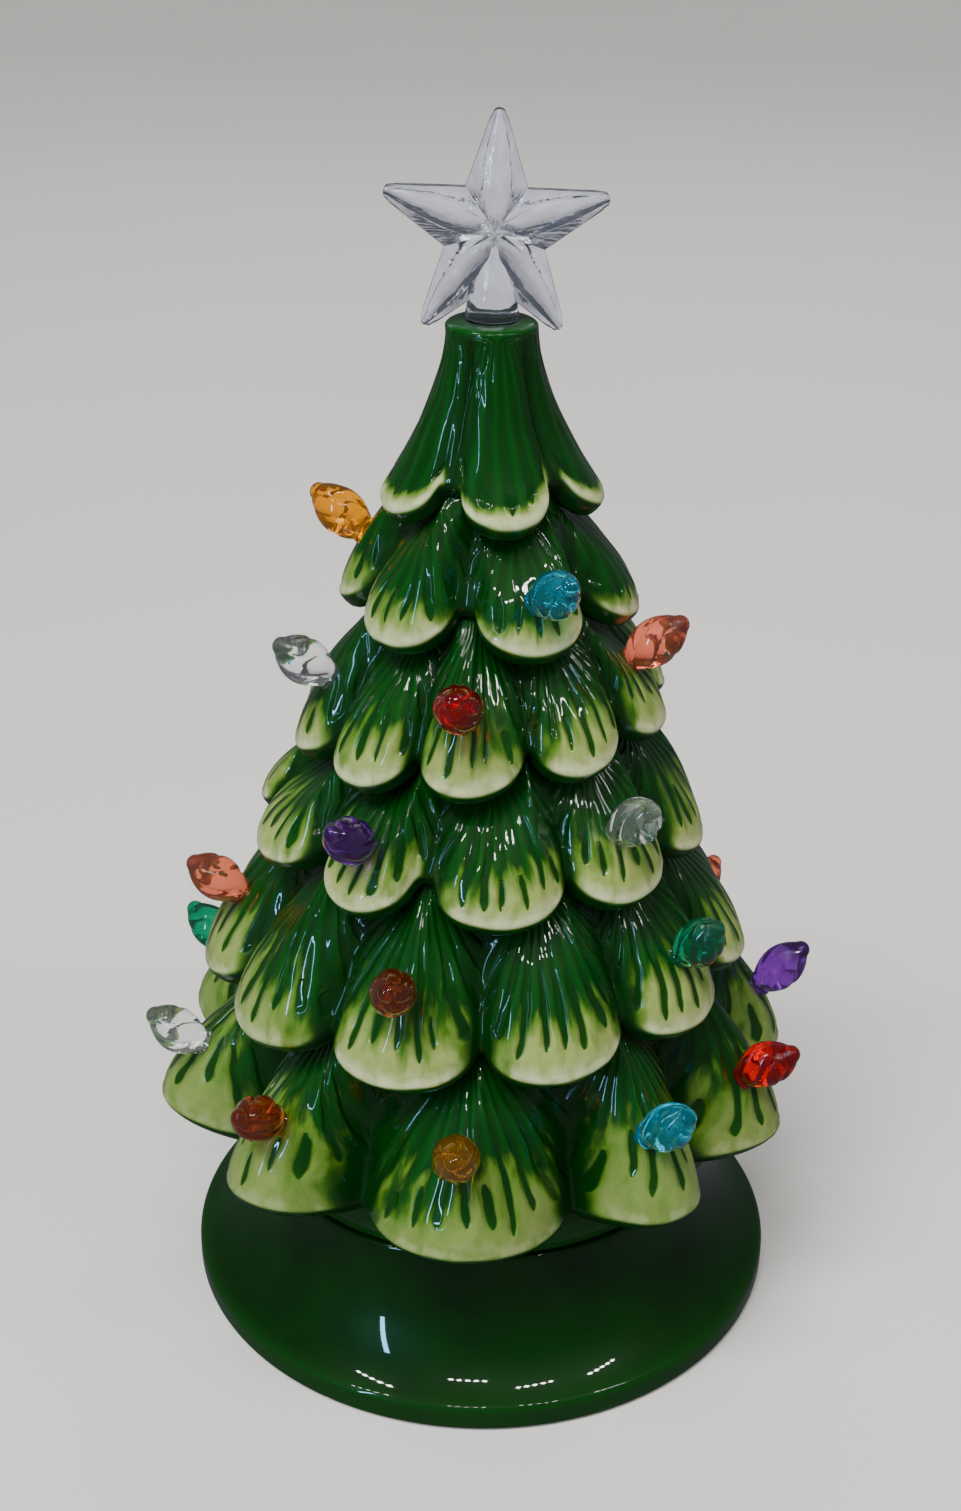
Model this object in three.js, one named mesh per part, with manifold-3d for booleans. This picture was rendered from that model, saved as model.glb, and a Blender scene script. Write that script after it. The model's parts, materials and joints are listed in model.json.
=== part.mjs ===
// Lighted tabletop tree: a hollow glazed tree with coloured twist bulbs, a clear star on top,
// and a trumpet-shaped base with a battery light inside.
// Millimetres, +Z up, origin on the table at the centre of the base, front towards -Y.
import * as THREE from "three";
import { mergeVertices } from "three/addons/utils/BufferGeometryUtils.js";
import Module from "manifold-3d";

const wasm = await Module();
wasm.setup();

// Clearances
const joinGap = 0.3; // left between two pieces that touch
const slideGap = 0.5; // round pieces that lift or slide

// Base
const rimRadius = 57.5;
const rimHeight = 5;
const rimRound = 1.2;
const neckRadius = 44;
const seatHeight = 28.5; // where the tree stands
const coveRadius = 24;
const baseWall = 4.2;
const deckThickness = 5;
const footWidth = 5.5;
const collarHeight = 4;
const collarWall = 5;
const baseSides = 36;

// Tree, with heights measured up from its own foot
const treeHeight = 161.5;
const topRadius = 7.9;
const topRound = 1.2;
const starHoleRadius = 4;
const starHoleDepth = 12;
const treeWall = 4.5;
const footRadius = 43.7;
const mouthHeight = 6;
const columns = 70;
const hollowSides = 24;

// Tiers of boughs from the top down. The valleys are the angles where one bough ends and the next begins, in
// degrees from the front towards +X. The tree is hand made, so the boughs are uneven, one of them is narrow,
// and a tier can hang lower on one side.
const tiers = [
  { valleys: [-26, 46, 118, 190, 262], tipRadius: 19.7, tipHeight: 132.6, valleyRadius: 15.2, valleyHeight: 138,
    waistRadius: 13, tilt: 0, shift: 0, spread: 0.78, roundness: 0.55, steps: [0.35, 0.7, 1], funnel: true },
  { valleys: [-11, 52, 116, 180, 230, 288], tipRadius: 26.6, tipHeight: 112.8, valleyRadius: 20,
    valleyHeight: 118.5, waistRadius: 17.8, tilt: 0, shift: 0, spread: 0.84, roundness: 0.55, steps: [0.55, 1] },
  { valleys: [-24, 14.5, 51.5, 87, 123, 159, 195, 231, 267, 301], tipRadius: 34, tipHeight: 91.1,
    valleyRadius: 28, valleyHeight: 96.5, waistRadius: 25, tilt: 3.2, shift: 1, spread: 0.97, roundness: 0.55,
    steps: [0.55, 1] },
  { valleys: [-15, 23.5, 60, 95, 130.5, 166, 202, 237.5, 273, 308.5], tipRadius: 41.8, tipHeight: 69.8,
    valleyRadius: 35, valleyHeight: 75, waistRadius: 32, tilt: 0, shift: 1.5, spread: 0.98, roundness: 0.55,
    steps: [0.55, 1], narrow: { 9: 0.76 } },
  { valleys: [-35.5, -0.5, 34, 67.5, 100, 132, 164, 196, 228, 260, 291.5], tipRadius: 51.3, tipHeight: 43.3,
    valleyRadius: 43, valleyHeight: 48, waistRadius: 40, tilt: 2, shift: 2, spread: 1, roundness: 0.55,
    steps: [0.4, 0.75, 1] },
  { valleys: [-27, 21, 52, 84, 115, 146, 174, 202, 230, 265, 300], tipRadius: 61.5, tipHeight: 15.5,
    valleyRadius: 46.5, valleyHeight: 12, waistRadius: footRadius, tilt: 0, shift: 1.5, spread: 1, roundness: 1.1,
    steps: [0.35, 0.7, 1] },
];
const lip = 3.6; // thickness of a bough's rounded end

// Bulbs: the tier and bough that each stands on, its colour, and where it is not the usual one, its angle off
// the bough's middle, its share of the way down the bough, and its swing to the side and lean above level
const bulbPlan = [
  { tier: 1, bough: 0, colour: "aqua", swing: 15, lean: 25 },
  { tier: 1, bough: 2, colour: "red" },
  { tier: 1, bough: 4, colour: "amber", off: -5, swing: -15, lean: 22 },
  { tier: 2, bough: 0, colour: "red", off: -2 },
  { tier: 2, bough: 2, colour: "salmon", off: 6, place: 0.47, swing: -8, lean: 48 },
  { tier: 2, bough: 4, colour: "green" },
  { tier: 2, bough: 6, colour: "purple" },
  { tier: 2, bough: 8, colour: "clear", off: 3, swing: 9 },
  { tier: 3, bough: 1, colour: "clear", off: -2, swing: 4, lean: 44 },
  { tier: 3, bough: 4, colour: "amber" },
  { tier: 3, bough: 6, colour: "aqua" },
  { tier: 3, bough: 9, colour: "purple", off: -2, swing: 14, lean: 42 },
  { tier: 4, bough: 0, colour: "copper" },
  { tier: 4, bough: 2, colour: "green", swing: 5, lean: 46 },
  { tier: 4, bough: 5, colour: "salmon" },
  { tier: 4, bough: 7, colour: "amber" },
  { tier: 4, bough: 9, colour: "salmon", off: 2, place: 0.5, swing: 20 },
  { tier: 5, bough: 0, colour: "amber", off: -2, place: 0.48 },
  { tier: 5, bough: 1, colour: "aqua", off: -3, swing: 12, lean: 42 },
  { tier: 5, bough: 2, colour: "red", off: -5, place: 0.6, swing: 18, lean: 42 },
  { tier: 5, bough: 3, colour: "purple", off: -1, place: 0.6, swing: -18, lean: 42 },
  { tier: 5, bough: 4, colour: "salmon" },
  { tier: 5, bough: 5, colour: "copper" },
  { tier: 5, bough: 6, colour: "clear" },
  { tier: 5, bough: 7, colour: "aqua" },
  { tier: 5, bough: 8, colour: "green", off: -2, place: 0.65, swing: -18, lean: 34 },
  { tier: 5, bough: 9, colour: "clear", off: 3, swing: 3 },
  { tier: 5, bough: 10, colour: "copper", off: 2, place: 0.53, swing: 6, lean: 42 },
];
const usualBulb = { off: 0, place: 0.56, swing: 0, lean: 40 };
const bulbSides = 7;
const bulbRadius = 4.2;
const bulbLength = 13.4;
const collarRadius = 2.6;
const pegRadius = 1.6;
const pegLength = 9;
const holeLength = 31; // through the thickest bough into the hollow
const seatDepth = 0.7; // flat cut into the bough for the collar

// Star
const starRadius = 19.3;
const starNotchRadius = 8.6;
const starThickness = 7;
const starEdge = 2;
const starCentreHeight = 14.6; // above the top of the tree
const starLean = 1.5; // degrees towards +X, as it stands loose in its hole
const stemTopRadius = 2.95;
const stemFootRadius = 4.4;
const plugLength = 8;

// Battery light in the base
const cellClearance = 0.6;
const cornerRoom = 0.6; // between the bay's corners and the cup's wall
const tongueRise = 1.2; // the door's latch above the closing plate
const switchHeight = 5;
const switchWidth = 6;
const housingWall = 2;
const housingFloor = 3; // underside of the housing above the table
const bossRadius = 12;
const bossHeight = 2.2;
const wireHoleRadius = 3;
const cellRadius = 5.25;
const cellLength = 43.5;
const cellNubRadius = 1.9;
const cellNubLength = 1;
const cellPitch = 11.7;
const cellCount = 3;
const bayWall = 1.3;
const contactThickness = 0.5;
const springLength = 4.6;
const springWire = 0.4;
const springTurns = 3;
const boardThickness = 1.2;
const lampCount = 3;
const lampRadius = 2.5;
const lampHeight = 8;
const lampCircle = 6.2;
const domeWall = 1.2;
const domeShoulder = 6.5;
const switchTravel = 3.5;
const knobWidth = 2.4;
const knobLength = 3.6;
const wireRadius = 0.6;

const finishes = {
  greenGlaze: { color: 0x0c4a1a, roughness: 0.12, metalness: 0 },
  baseGlaze: { color: 0x0b4418, roughness: 0.1, metalness: 0 },
  clear: { color: 0xe6ebf5, roughness: 0.06, metalness: 0 },
  red: { color: 0xb01010, roughness: 0.08, metalness: 0 },
  amber: { color: 0xd98a10, roughness: 0.08, metalness: 0 },
  copper: { color: 0x9c4316, roughness: 0.08, metalness: 0 },
  salmon: { color: 0xe2725b, roughness: 0.08, metalness: 0 },
  aqua: { color: 0x1aa5c8, roughness: 0.08, metalness: 0 },
  green: { color: 0x057a4e, roughness: 0.08, metalness: 0 },
  purple: { color: 0x5b2a9a, roughness: 0.08, metalness: 0 },
  housing: { color: 0x1c1d1e, roughness: 0.5, metalness: 0 },
  frost: { color: 0xe8e6dc, roughness: 0.45, metalness: 0 },
  board: { color: 0xe9e9e4, roughness: 0.4, metalness: 0 },
  cell: { color: 0x2c2f33, roughness: 0.3, metalness: 0.2 },
  contact: { color: 0xc9cbcd, roughness: 0.25, metalness: 1 },
  redWire: { color: 0xb3161b, roughness: 0.4, metalness: 0 },
};

const radians = THREE.MathUtils.degToRad;
const mix = THREE.MathUtils.lerp;

function wrap(value, period) {
  return ((value % period) + period) % period;
}

// Shape helpers
function toSolid(geometry) {
  const bare = geometry.clone();
  bare.deleteAttribute("normal");
  bare.deleteAttribute("uv");
  const merged = mergeVertices(bare, 1e-4);
  const index = new Uint32Array(merged.index.array);
  return new wasm.Manifold(
    new wasm.Mesh({ numProp: 3, vertProperties: merged.attributes.position.array, triVerts: index }),
  );
}

function toGeometry(solid) {
  const mesh = solid.getMesh();
  const geometry = new THREE.BufferGeometry();
  geometry.setAttribute("position", new THREE.BufferAttribute(mesh.vertProperties, 3));
  geometry.setIndex(new THREE.BufferAttribute(mesh.triVerts, 1));
  return geometry;
}

function signedVolume(geometry) {
  const place = geometry.getAttribute("position");
  const index = geometry.index;
  const a = new THREE.Vector3();
  const b = new THREE.Vector3();
  const c = new THREE.Vector3();
  let total = 0;
  for (let i = 0; i < index.count; i += 3) {
    a.fromBufferAttribute(place, index.getX(i));
    b.fromBufferAttribute(place, index.getX(i + 1));
    c.fromBufferAttribute(place, index.getX(i + 2));
    total += a.dot(b.cross(c));
  }
  return total / 6;
}

function facingOut(geometry) {
  if (signedVolume(geometry) < 0) {
    const order = geometry.index.array;
    for (let i = 0; i < order.length; i += 3) {
      [order[i + 1], order[i + 2]] = [order[i + 2], order[i + 1]];
    }
  }
  return geometry;
}

// A turned piece: the outline is a list of [radius, height] that ends on the axis or closes on itself
function turned(outline, sides) {
  const points = outline.map(([radius, height]) => new THREE.Vector2(radius, height));
  const geometry = new THREE.LatheGeometry(points, sides);
  geometry.rotateX(Math.PI / 2);
  geometry.deleteAttribute("normal");
  geometry.deleteAttribute("uv");
  return facingOut(mergeVertices(geometry, 1e-4));
}

function box(width, depth, height, x, y, z) {
  return new THREE.BoxGeometry(width, depth, height).translate(x, y, z + height / 2);
}

function joined(first, ...others) {
  return toGeometry(others.reduce((sum, next) => sum.add(toSolid(next)), toSolid(first)));
}

function cut(first, ...tools) {
  return toGeometry(tools.reduce((rest, tool) => rest.subtract(toSolid(tool)), toSolid(first)));
}

// A closed skin over rings of points, with a pole at each end
function skin(topPole, rings, bottomPole) {
  const sides = rings[0].length;
  const places = [topPole, ...rings.flat(), bottomPole].flat();
  const order = [];
  const last = 1 + rings.length * sides;
  for (let c = 0; c < sides; c += 1) {
    const next = (c + 1) % sides;
    order.push(0, 1 + c, 1 + next);
    for (let r = 0; r + 1 < rings.length; r += 1) {
      const upper = 1 + r * sides;
      const lower = upper + sides;
      order.push(upper + c, lower + c, lower + next);
      order.push(upper + c, lower + next, upper + next);
    }
    const foot = 1 + (rings.length - 1) * sides;
    order.push(foot + c, last, foot + next);
  }
  const geometry = new THREE.BufferGeometry();
  geometry.setAttribute("position", new THREE.BufferAttribute(new Float32Array(places), 3));
  geometry.setIndex(order);
  return facingOut(geometry);
}

const part = new THREE.Group();
const treeGroup = new THREE.Group();
treeGroup.position.z = seatHeight + joinGap;
part.add(treeGroup);

function addPiece(name, geometry, finish, parent = part) {
  const mesh = new THREE.Mesh(geometry, new THREE.MeshStandardMaterial(finishes[finish]));
  mesh.name = name;
  parent.add(mesh);
  return mesh;
}

// Point on the tree from an angle (0 at the front), a radius and a height above the tree's foot
function around(angle, radius, height) {
  return [radius * Math.sin(radians(angle)), -radius * Math.cos(radians(angle)), height];
}

// How wide a bough is in degrees, and the angle of its middle
function boughWidth(tier, bough) {
  return wrap(tier.valleys[wrap(bough + 1, tier.valleys.length)] - tier.valleys[bough], 360);
}

function boughMiddle(tier, bough) {
  return tier.valleys[bough] + boughWidth(tier, bough) / 2;
}

// How full a bough is at an angle: 1 along its middle, 0 in the valley beside it
function fullness(tier, angle, down) {
  const bough = tier.valleys.findIndex((valley, k) => wrap(angle - valley, 360) < boughWidth(tier, k));
  const across = (2 * wrap(angle - tier.valleys[bough], 360)) / boughWidth(tier, bough) - 1;
  const width = tier.spread * (tier.narrow?.[bough] ?? 1) * mix(0.62, 1, Math.sqrt(down));
  const side = Math.min(1, Math.abs(across) / width);
  return (1 - side * side) ** tier.roundness;
}

// A tier's reach and height at an angle, for a given fullness
function reachAt(tier, angle, full) {
  const side = Math.sin(radians(angle));
  return {
    radius: mix(tier.valleyRadius, tier.tipRadius, full) - tier.shift * side,
    height: mix(tier.valleyHeight, tier.tipHeight, full) + tier.tilt * side,
  };
}

function hem(tier, angle) {
  return reachAt(tier, angle, fullness(tier, angle, 1));
}

function waist(tier, angle) {
  return { radius: tier.waistRadius, height: hem(tier, angle).height - 0.8 * lip };
}

// Upper face of a tier: down runs from 0 under the tier above to 1 at the bough's edge
function boughPoint(number, angle, down) {
  const tier = tiers[number];
  const start = number === 0
    ? { radius: topRadius, height: treeHeight - topRound }
    : waist(tiers[number - 1], angle);
  const end = reachAt(tier, angle, fullness(tier, angle, down));
  const reach = tier.funnel ? down ** 1.6 : 1 - (1 - down) ** 1.5;
  return { radius: mix(start.radius, end.radius, reach), height: mix(start.height, end.height, down) };
}

// Column angles for a tier, with a column in every valley so that the creases stay sharp
function columnAngles(tier, total) {
  const angles = new Array(total);
  tier.valleys.forEach((from, bough) => {
    const step = boughWidth(tier, bough);
    const first = Math.round((from / 360) * total);
    const next = Math.round(((from + step) / 360) * total);
    for (let column = first; column < next; column += 1) {
      angles[wrap(column, total)] = from + (step * (column - first)) / (next - first);
    }
  });
  return angles;
}

function ring(angles, pointAt) {
  return angles.map((angle) => {
    const point = pointAt(angle);
    return around(angle, point.radius, point.height);
  });
}

function treeOutside() {
  const first = columnAngles(tiers[0], columns);
  const rings = [
    ring(first, () => ({ radius: topRadius - topRound, height: treeHeight })),
    ring(first, () => ({ radius: topRadius, height: treeHeight - topRound })),
  ];
  tiers.forEach((tier, number) => {
    const angles = columnAngles(tier, columns);
    for (const down of tier.steps) {
      rings.push(ring(angles, (angle) => boughPoint(number, angle, down)));
    }
    rings.push(ring(angles, (angle) => {
      const edge = hem(tier, angle);
      return { radius: edge.radius - 0.35 * lip, height: edge.height - lip };
    }));
    rings.push(ring(angles, (angle) => waist(tier, angle)));
  });
  rings.push(ring(columnAngles(tiers.at(-1), columns), () => ({ radius: footRadius, height: 0 })));
  return skin([0, 0, treeHeight], rings, [0, 0, 0]);
}

// The hollow is a turned shape one wall inside the waists, with a plain bore for the star's plug on top
function treeInside() {
  const over = 1; // runs past both ends of the tree
  const mouth = footRadius - treeWall - slideGap;
  const steps = tiers.slice(0, -1).reverse().map((tier) => [tier.waistRadius - treeWall, tier.tipHeight - lip]);
  return turned([
    [0, -over], [mouth, -over], [mouth, mouthHeight], ...steps,
    [starHoleRadius, treeHeight - starHoleDepth], [starHoleRadius, treeHeight + over], [0, treeHeight + over],
  ], hollowSides);
}

// Bulb seats: where each bulb stands on its bough, and the way it points
function bulbSeats() {
  return bulbPlan.map((bulb) => {
    const { tier, bough, colour, off, place: share, swing, lean } = { ...usualBulb, ...bulb };
    const angle = boughMiddle(tiers[tier], bough) + off;
    const spot = boughPoint(tier, angle, share);
    const level = Math.cos(radians(lean));
    const out = new THREE.Vector3(...around(angle + swing, level, Math.sin(radians(lean))));
    const place = new THREE.Vector3(...around(angle, spot.radius, spot.height));
    place.addScaledVector(out, -seatDepth);
    const turn = new THREE.Quaternion().setFromUnitVectors(new THREE.Vector3(0, 0, 1), out);
    return { place, turn, colour };
  });
}

// Cuts a bulb's seat: a hole for its peg and the light, and a dimple that its body stands clear in
const bellyHeight = 0.35 * bulbLength;
const holeTool = turned([
  [0, -holeLength], [pegRadius + joinGap, -holeLength], [pegRadius + joinGap, 0], [collarRadius + joinGap, 0],
  [bulbRadius + joinGap, bellyHeight], [bulbRadius + joinGap, bulbLength], [0, bulbLength],
], bulbSides);

const bulbBody = turned([
  [0, -pegLength], [pegRadius, -pegLength], [pegRadius, joinGap], [collarRadius, joinGap],
  [bulbRadius, bellyHeight], [0.86 * bulbRadius, 0.68 * bulbLength],
  [0.36 * bulbRadius, 0.92 * bulbLength], [0, bulbLength],
], bulbSides);

function treeShell(seats) {
  let solid = toSolid(treeOutside()).subtract(toSolid(treeInside()));
  for (const { place, turn } of seats) {
    const tool = holeTool.clone().applyQuaternion(turn).translate(place.x, place.y, place.z);
    solid = solid.subtract(toSolid(tool));
  }
  return toGeometry(solid);
}

const seats = bulbSeats();
addPiece("tree_shell", treeShell(seats), "greenGlaze", treeGroup);
seats.forEach(({ place, turn, colour }, index) => {
  const bulb = addPiece(`bulb_${String(index + 1).padStart(2, "0")}`, bulbBody.clone(), colour, treeGroup);
  bulb.position.copy(place);
  bulb.quaternion.copy(turn);
});

// Star with a ridge along each arm, on a tapered stem whose plug drops into the tree's top hole
function starTopper() {
  const arms = 5;
  const outline = Array.from({ length: arms * 2 }, (_, k) => {
    const radius = k % 2 === 0 ? starRadius : starNotchRadius;
    const angle = (Math.PI * k) / arms;
    return [radius * Math.sin(angle), radius * Math.cos(angle)];
  });
  const level = (half) => outline.map(([x, z]) => [x, half, z]);
  const plate = skin(
    [0, -starThickness / 2, 0],
    [level(-starEdge / 2), level(starEdge / 2)],
    [0, starThickness / 2, 0],
  );
  const stemFoot = joinGap - starCentreHeight;
  const stem = turned([
    [0, stemFoot - joinGap - plugLength], [starHoleRadius - slideGap, stemFoot - joinGap - plugLength],
    [starHoleRadius - slideGap, stemFoot], [stemFootRadius + joinGap, stemFoot],
    [stemTopRadius, -starNotchRadius * 0.75], [0, -starNotchRadius * 0.5],
  ], 16);
  return joined(plate, stem).translate(0, 0, starCentreHeight);
}

const star = addPiece("star_topper", starTopper(), "clear", treeGroup);
star.position.z = treeHeight;
star.rotation.y = radians(starLean);

// Base: a trumpet with a deck on top, a collar that finds the tree, and a hollow below
function coveRadiusAt(height, offset) {
  const centreRadius = neckRadius + coveRadius;
  const centreHeight = seatHeight - 2;
  const rise = Math.min(centreHeight - height, coveRadius + offset);
  return centreRadius - Math.sqrt((coveRadius + offset) ** 2 - Math.max(0, rise) ** 2);
}

const deckUnderside = seatHeight - deckThickness;
const collarOuter = footRadius - treeWall - 2 * slideGap;
const lampHoleRadius = bossRadius + domeWall + 2 * slideGap;

function baseShell() {
  const footInner = rimRadius - rimRound - footWidth;
  const outer = [[rimRadius - rimRound, 0], [rimRadius, rimRound], [rimRadius, rimHeight - rimRound]];
  const steps = 7;
  for (let step = 1; step <= steps; step += 1) {
    const height = mix(rimHeight, seatHeight - 2, (step / steps) ** 1.35);
    outer.push([Math.min(rimRadius - 0.5, coveRadiusAt(height, 0)), height]);
  }
  const top = [
    [neckRadius, seatHeight - 0.5], [neckRadius - 0.5, seatHeight], [collarOuter, seatHeight],
    [collarOuter, seatHeight + collarHeight - 0.8], [collarOuter - 0.8, seatHeight + collarHeight],
    [collarOuter - collarWall, seatHeight + collarHeight], [collarOuter - collarWall, seatHeight],
    [lampHoleRadius, seatHeight], [lampHoleRadius, deckUnderside],
  ];
  const inner = [];
  for (const height of [deckUnderside, 15, 8]) {
    inner.push([Math.min(footInner - 0.5, coveRadiusAt(height, baseWall)), height]);
  }
  inner.push([footInner, 3], [footInner, 0]);
  return turned([...outer, ...top, ...inner, outer[0]], baseSides);
}

addPiece("base_shell", baseShell(), "baseGlaze");

// Light unit housing: a cup under the deck with a boss through the deck's hole and a bay for the cells. The bay's
// corners and the switch beside it set the cup's radius, and the cells lie just above the closing plate.
const housingTop = deckUnderside - joinGap;
const bayUnderTop = housingTop - housingWall;
const plateTop = housingFloor + housingWall;
const bayWidth = cellCount * cellPitch + 0.5;
const bayLength = cellLength + cellNubLength + springLength + 2 * contactThickness + 3 * joinGap;
const cellHeight = plateTop + cellClearance + cellRadius;
const contactHeight = 2 * (cellHeight - plateTop - tongueRise - joinGap);
const bayEdge = bayWidth / 2 + bayWall;
const bayCorner = Math.hypot(bayEdge, bayLength / 2 + bayWall);
const housingRadius = Math.max(bayCorner, bayEdge + switchWidth + 2) + housingWall + cornerRoom;

function framed(width, length, wall, low, high) {
  const shape = new THREE.Shape([
    new THREE.Vector2(-width / 2 - wall, -length / 2 - wall), new THREE.Vector2(width / 2 + wall, -length / 2 - wall),
    new THREE.Vector2(width / 2 + wall, length / 2 + wall), new THREE.Vector2(-width / 2 - wall, length / 2 + wall),
  ]);
  shape.holes.push(new THREE.Path([
    new THREE.Vector2(-width / 2, -length / 2), new THREE.Vector2(-width / 2, length / 2),
    new THREE.Vector2(width / 2, length / 2), new THREE.Vector2(width / 2, -length / 2),
  ]));
  return new THREE.ExtrudeGeometry(shape, { depth: high - low, bevelEnabled: false }).translate(0, 0, low);
}

const wireDoorHeight = bayUnderTop - 2;

function lightHousing() {
  const bossTop = housingTop + bossHeight;
  const cup = turned([
    [housingRadius, housingFloor], [housingRadius, housingTop - 1], [housingRadius - 1, housingTop],
    [bossRadius, housingTop], [bossRadius, bossTop], [wireHoleRadius, bossTop], [wireHoleRadius, bayUnderTop],
    [housingRadius - housingWall, bayUnderTop], [housingRadius - housingWall, housingFloor],
    [housingRadius, housingFloor],
  ], 24);
  const bay = framed(bayWidth, bayLength, bayWall, plateTop + joinGap, bayUnderTop + 0.5);
  const wireDoors = [0, bayLength / 2 - 4].map((y) => box(4 * bayWall, 4, 3.4, bayWidth / 2, y, wireDoorHeight - 1));
  return cut(joined(cup, bay), ...wireDoors);
}

addPiece("light_housing", lightHousing(), "housing");

// Closing plate with the battery door's opening and the switch's slot
const doorGap = joinGap + 0.1;
const switchX = (bayEdge + housingRadius - housingWall) / 2;
const slotLength = knobLength + switchTravel + 2 * slideGap;
const plateRadius = housingRadius - housingWall - joinGap;

function closingPlate() {
  const disc = turned([[0, housingFloor], [plateRadius, housingFloor], [plateRadius, plateTop], [0, plateTop]], 32);
  const opening = box(bayWidth, bayLength, 4 * housingWall, 0, 0, 0);
  const slot = box(knobWidth + slideGap, slotLength, 4 * housingWall, switchX, switchTravel / 2, 0);
  return cut(disc, opening, slot);
}

addPiece("closing_plate", closingPlate(), "housing");

// Battery door with grip ribs below and a latch tongue above
function batteryDoor() {
  const width = bayWidth - 2 * doorGap;
  const length = bayLength - 2 * doorGap;
  const plate = box(width, length, housingWall, 0, 0, housingFloor);
  const ribs = [-2, 0, 2].map((k) => box(width * 0.4, 0.8, 0.6, 0, k * 1.2 - length / 2 + 8, housingFloor - 0.5));
  const tongue = box(9, 1, tongueRise + 0.2, 0, -length / 2 + 0.5, plateTop - 0.2);
  return joined(plate, ...ribs, tongue);
}

addPiece("battery_cover", batteryDoor(), "housing");

// Cells lie side by side with every second one turned round
function cellBody() {
  const half = (cellLength + cellNubLength) / 2;
  const shoulder = half - cellNubLength;
  return turned([
    [0, -half], [cellRadius - 0.5, -half], [cellRadius, -half + 0.5], [cellRadius, shoulder - 0.5],
    [cellRadius - 0.5, shoulder], [cellNubRadius, shoulder], [cellNubRadius, half], [0, half],
  ], 12).rotateX(-Math.PI / 2);
}

// Conical spring from its plate towards the cell's flat end
class SpringPath extends THREE.Curve {
  getPoint(share, target = new THREE.Vector3()) {
    const angle = 2 * Math.PI * springTurns * share;
    const radius = mix(3.4, 2.3, share);
    const along = mix(springWire, springLength - springWire, share);
    return target.set(radius * Math.cos(angle), along, radius * Math.sin(angle));
  }
}

function rodAlong(path, radius, sides, steps) {
  const section = Array.from({ length: sides }, (_, k) => {
    const angle = (2 * Math.PI * k) / sides;
    return new THREE.Vector2(radius * Math.cos(angle), radius * Math.sin(angle));
  });
  return new THREE.ExtrudeGeometry(new THREE.Shape(section), { steps, extrudePath: path, bevelEnabled: false });
}

const springBody = rodAlong(new SpringPath(), springWire, 4, 7 * springTurns);
const bayEnd = bayLength / 2;
const nubEnd = bayEnd - contactThickness - joinGap;
const cellMiddle = nubEnd - (cellLength + cellNubLength) / 2;

for (let k = 0; k < cellCount; k += 1) {
  const x = (k - (cellCount - 1) / 2) * cellPitch;
  const way = k % 2 === 0 ? 1 : -1;
  const cell = addPiece(`battery_${k + 1}`, cellBody(), "cell");
  cell.position.set(x, way * cellMiddle, cellHeight);
  cell.rotation.z = way > 0 ? 0 : Math.PI;
  const spring = addPiece(`contact_spring_${k + 1}`, springBody.clone(), "contact");
  spring.position.set(x, -way * (bayEnd - contactThickness - joinGap / 2), cellHeight);
  spring.rotation.z = way > 0 ? 0 : Math.PI;
}

// Contact plates: one at each end of the row of cells, and two that bridge neighbours
function contactPlate(name, centre, width, side) {
  const y = side * (bayEnd - joinGap / 3 - contactThickness / 2);
  const low = cellHeight - contactHeight / 2;
  addPiece(name, box(width, contactThickness, contactHeight, centre, y, low), "contact");
}

contactPlate("positive_contact", -cellPitch, 8, 1);
contactPlate("bridge_contact_1", cellPitch / 2, cellPitch + 8, 1);
contactPlate("bridge_contact_2", -cellPitch / 2, cellPitch + 8, -1);
contactPlate("negative_contact", cellPitch, 8, -1);

// Lamp board on the boss, with its lamps and a frosted dome over them
const boardFloor = housingTop + bossHeight + joinGap;
const boardTop = boardFloor + boardThickness;
addPiece("lamp_board", turned([
  [0, boardFloor], [bossRadius - 0.5, boardFloor], [bossRadius - 0.5, boardTop], [0, boardTop],
], 24), "board");

for (let k = 0; k < lampCount; k += 1) {
  const lamp = addPiece(`lamp_${k + 1}`, turned([
    [0, 0], [lampRadius + 0.4, 0], [lampRadius + 0.4, 1], [lampRadius, 1], [lampRadius, lampHeight - lampRadius],
    [0.75 * lampRadius, lampHeight - 0.35 * lampRadius], [0, lampHeight],
  ], 10), "frost");
  const angle = (2 * Math.PI * k) / lampCount;
  lamp.position.set(lampCircle * Math.sin(angle), -lampCircle * Math.cos(angle), boardTop + joinGap);
}

function lightDome() {
  const foot = housingTop + joinGap;
  const inner = bossRadius + joinGap;
  const outer = inner + domeWall;
  const shoulder = boardTop + domeShoulder;
  const arc = (radius, from, to) => Array.from({ length: 5 }, (_, k) => {
    const angle = mix(from, to, k / 4) * (Math.PI / 2);
    return [radius * Math.cos(angle), shoulder + radius * 0.62 * Math.sin(angle)];
  });
  const outside = [[outer, foot], ...arc(outer, 0, 1)];
  const inside = [...arc(inner, 1, 0), [inner, foot], [outer, foot]];
  return turned([...outside, ...inside], 16);
}

addPiece("light_dome", lightDome(), "frost");

// Slide switch beside the bay, with its knob through the plate's slot
const switchLength = slotLength + 4;

function switchBody() {
  const low = plateTop + joinGap;
  const block = box(switchWidth, switchLength, switchHeight, switchX, switchTravel / 2, low);
  const pocket = box(knobWidth + 1.4 + slideGap, slotLength + 1, 2.4, switchX, switchTravel / 2, low - 0.5);
  return cut(block, pocket);
}

addPiece("switch_body", switchBody(), "housing");

function switchKnob() {
  const low = housingFloor - 1;
  const knob = box(knobWidth - slideGap, knobLength, plateTop + joinGap - low + 0.3, switchX, 0, low);
  const carriage = box(knobWidth + 1, knobLength, 1.2, switchX, 0, plateTop + joinGap);
  return joined(knob, carriage);
}

addPiece("switch_slider", switchKnob(), "board");

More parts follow.
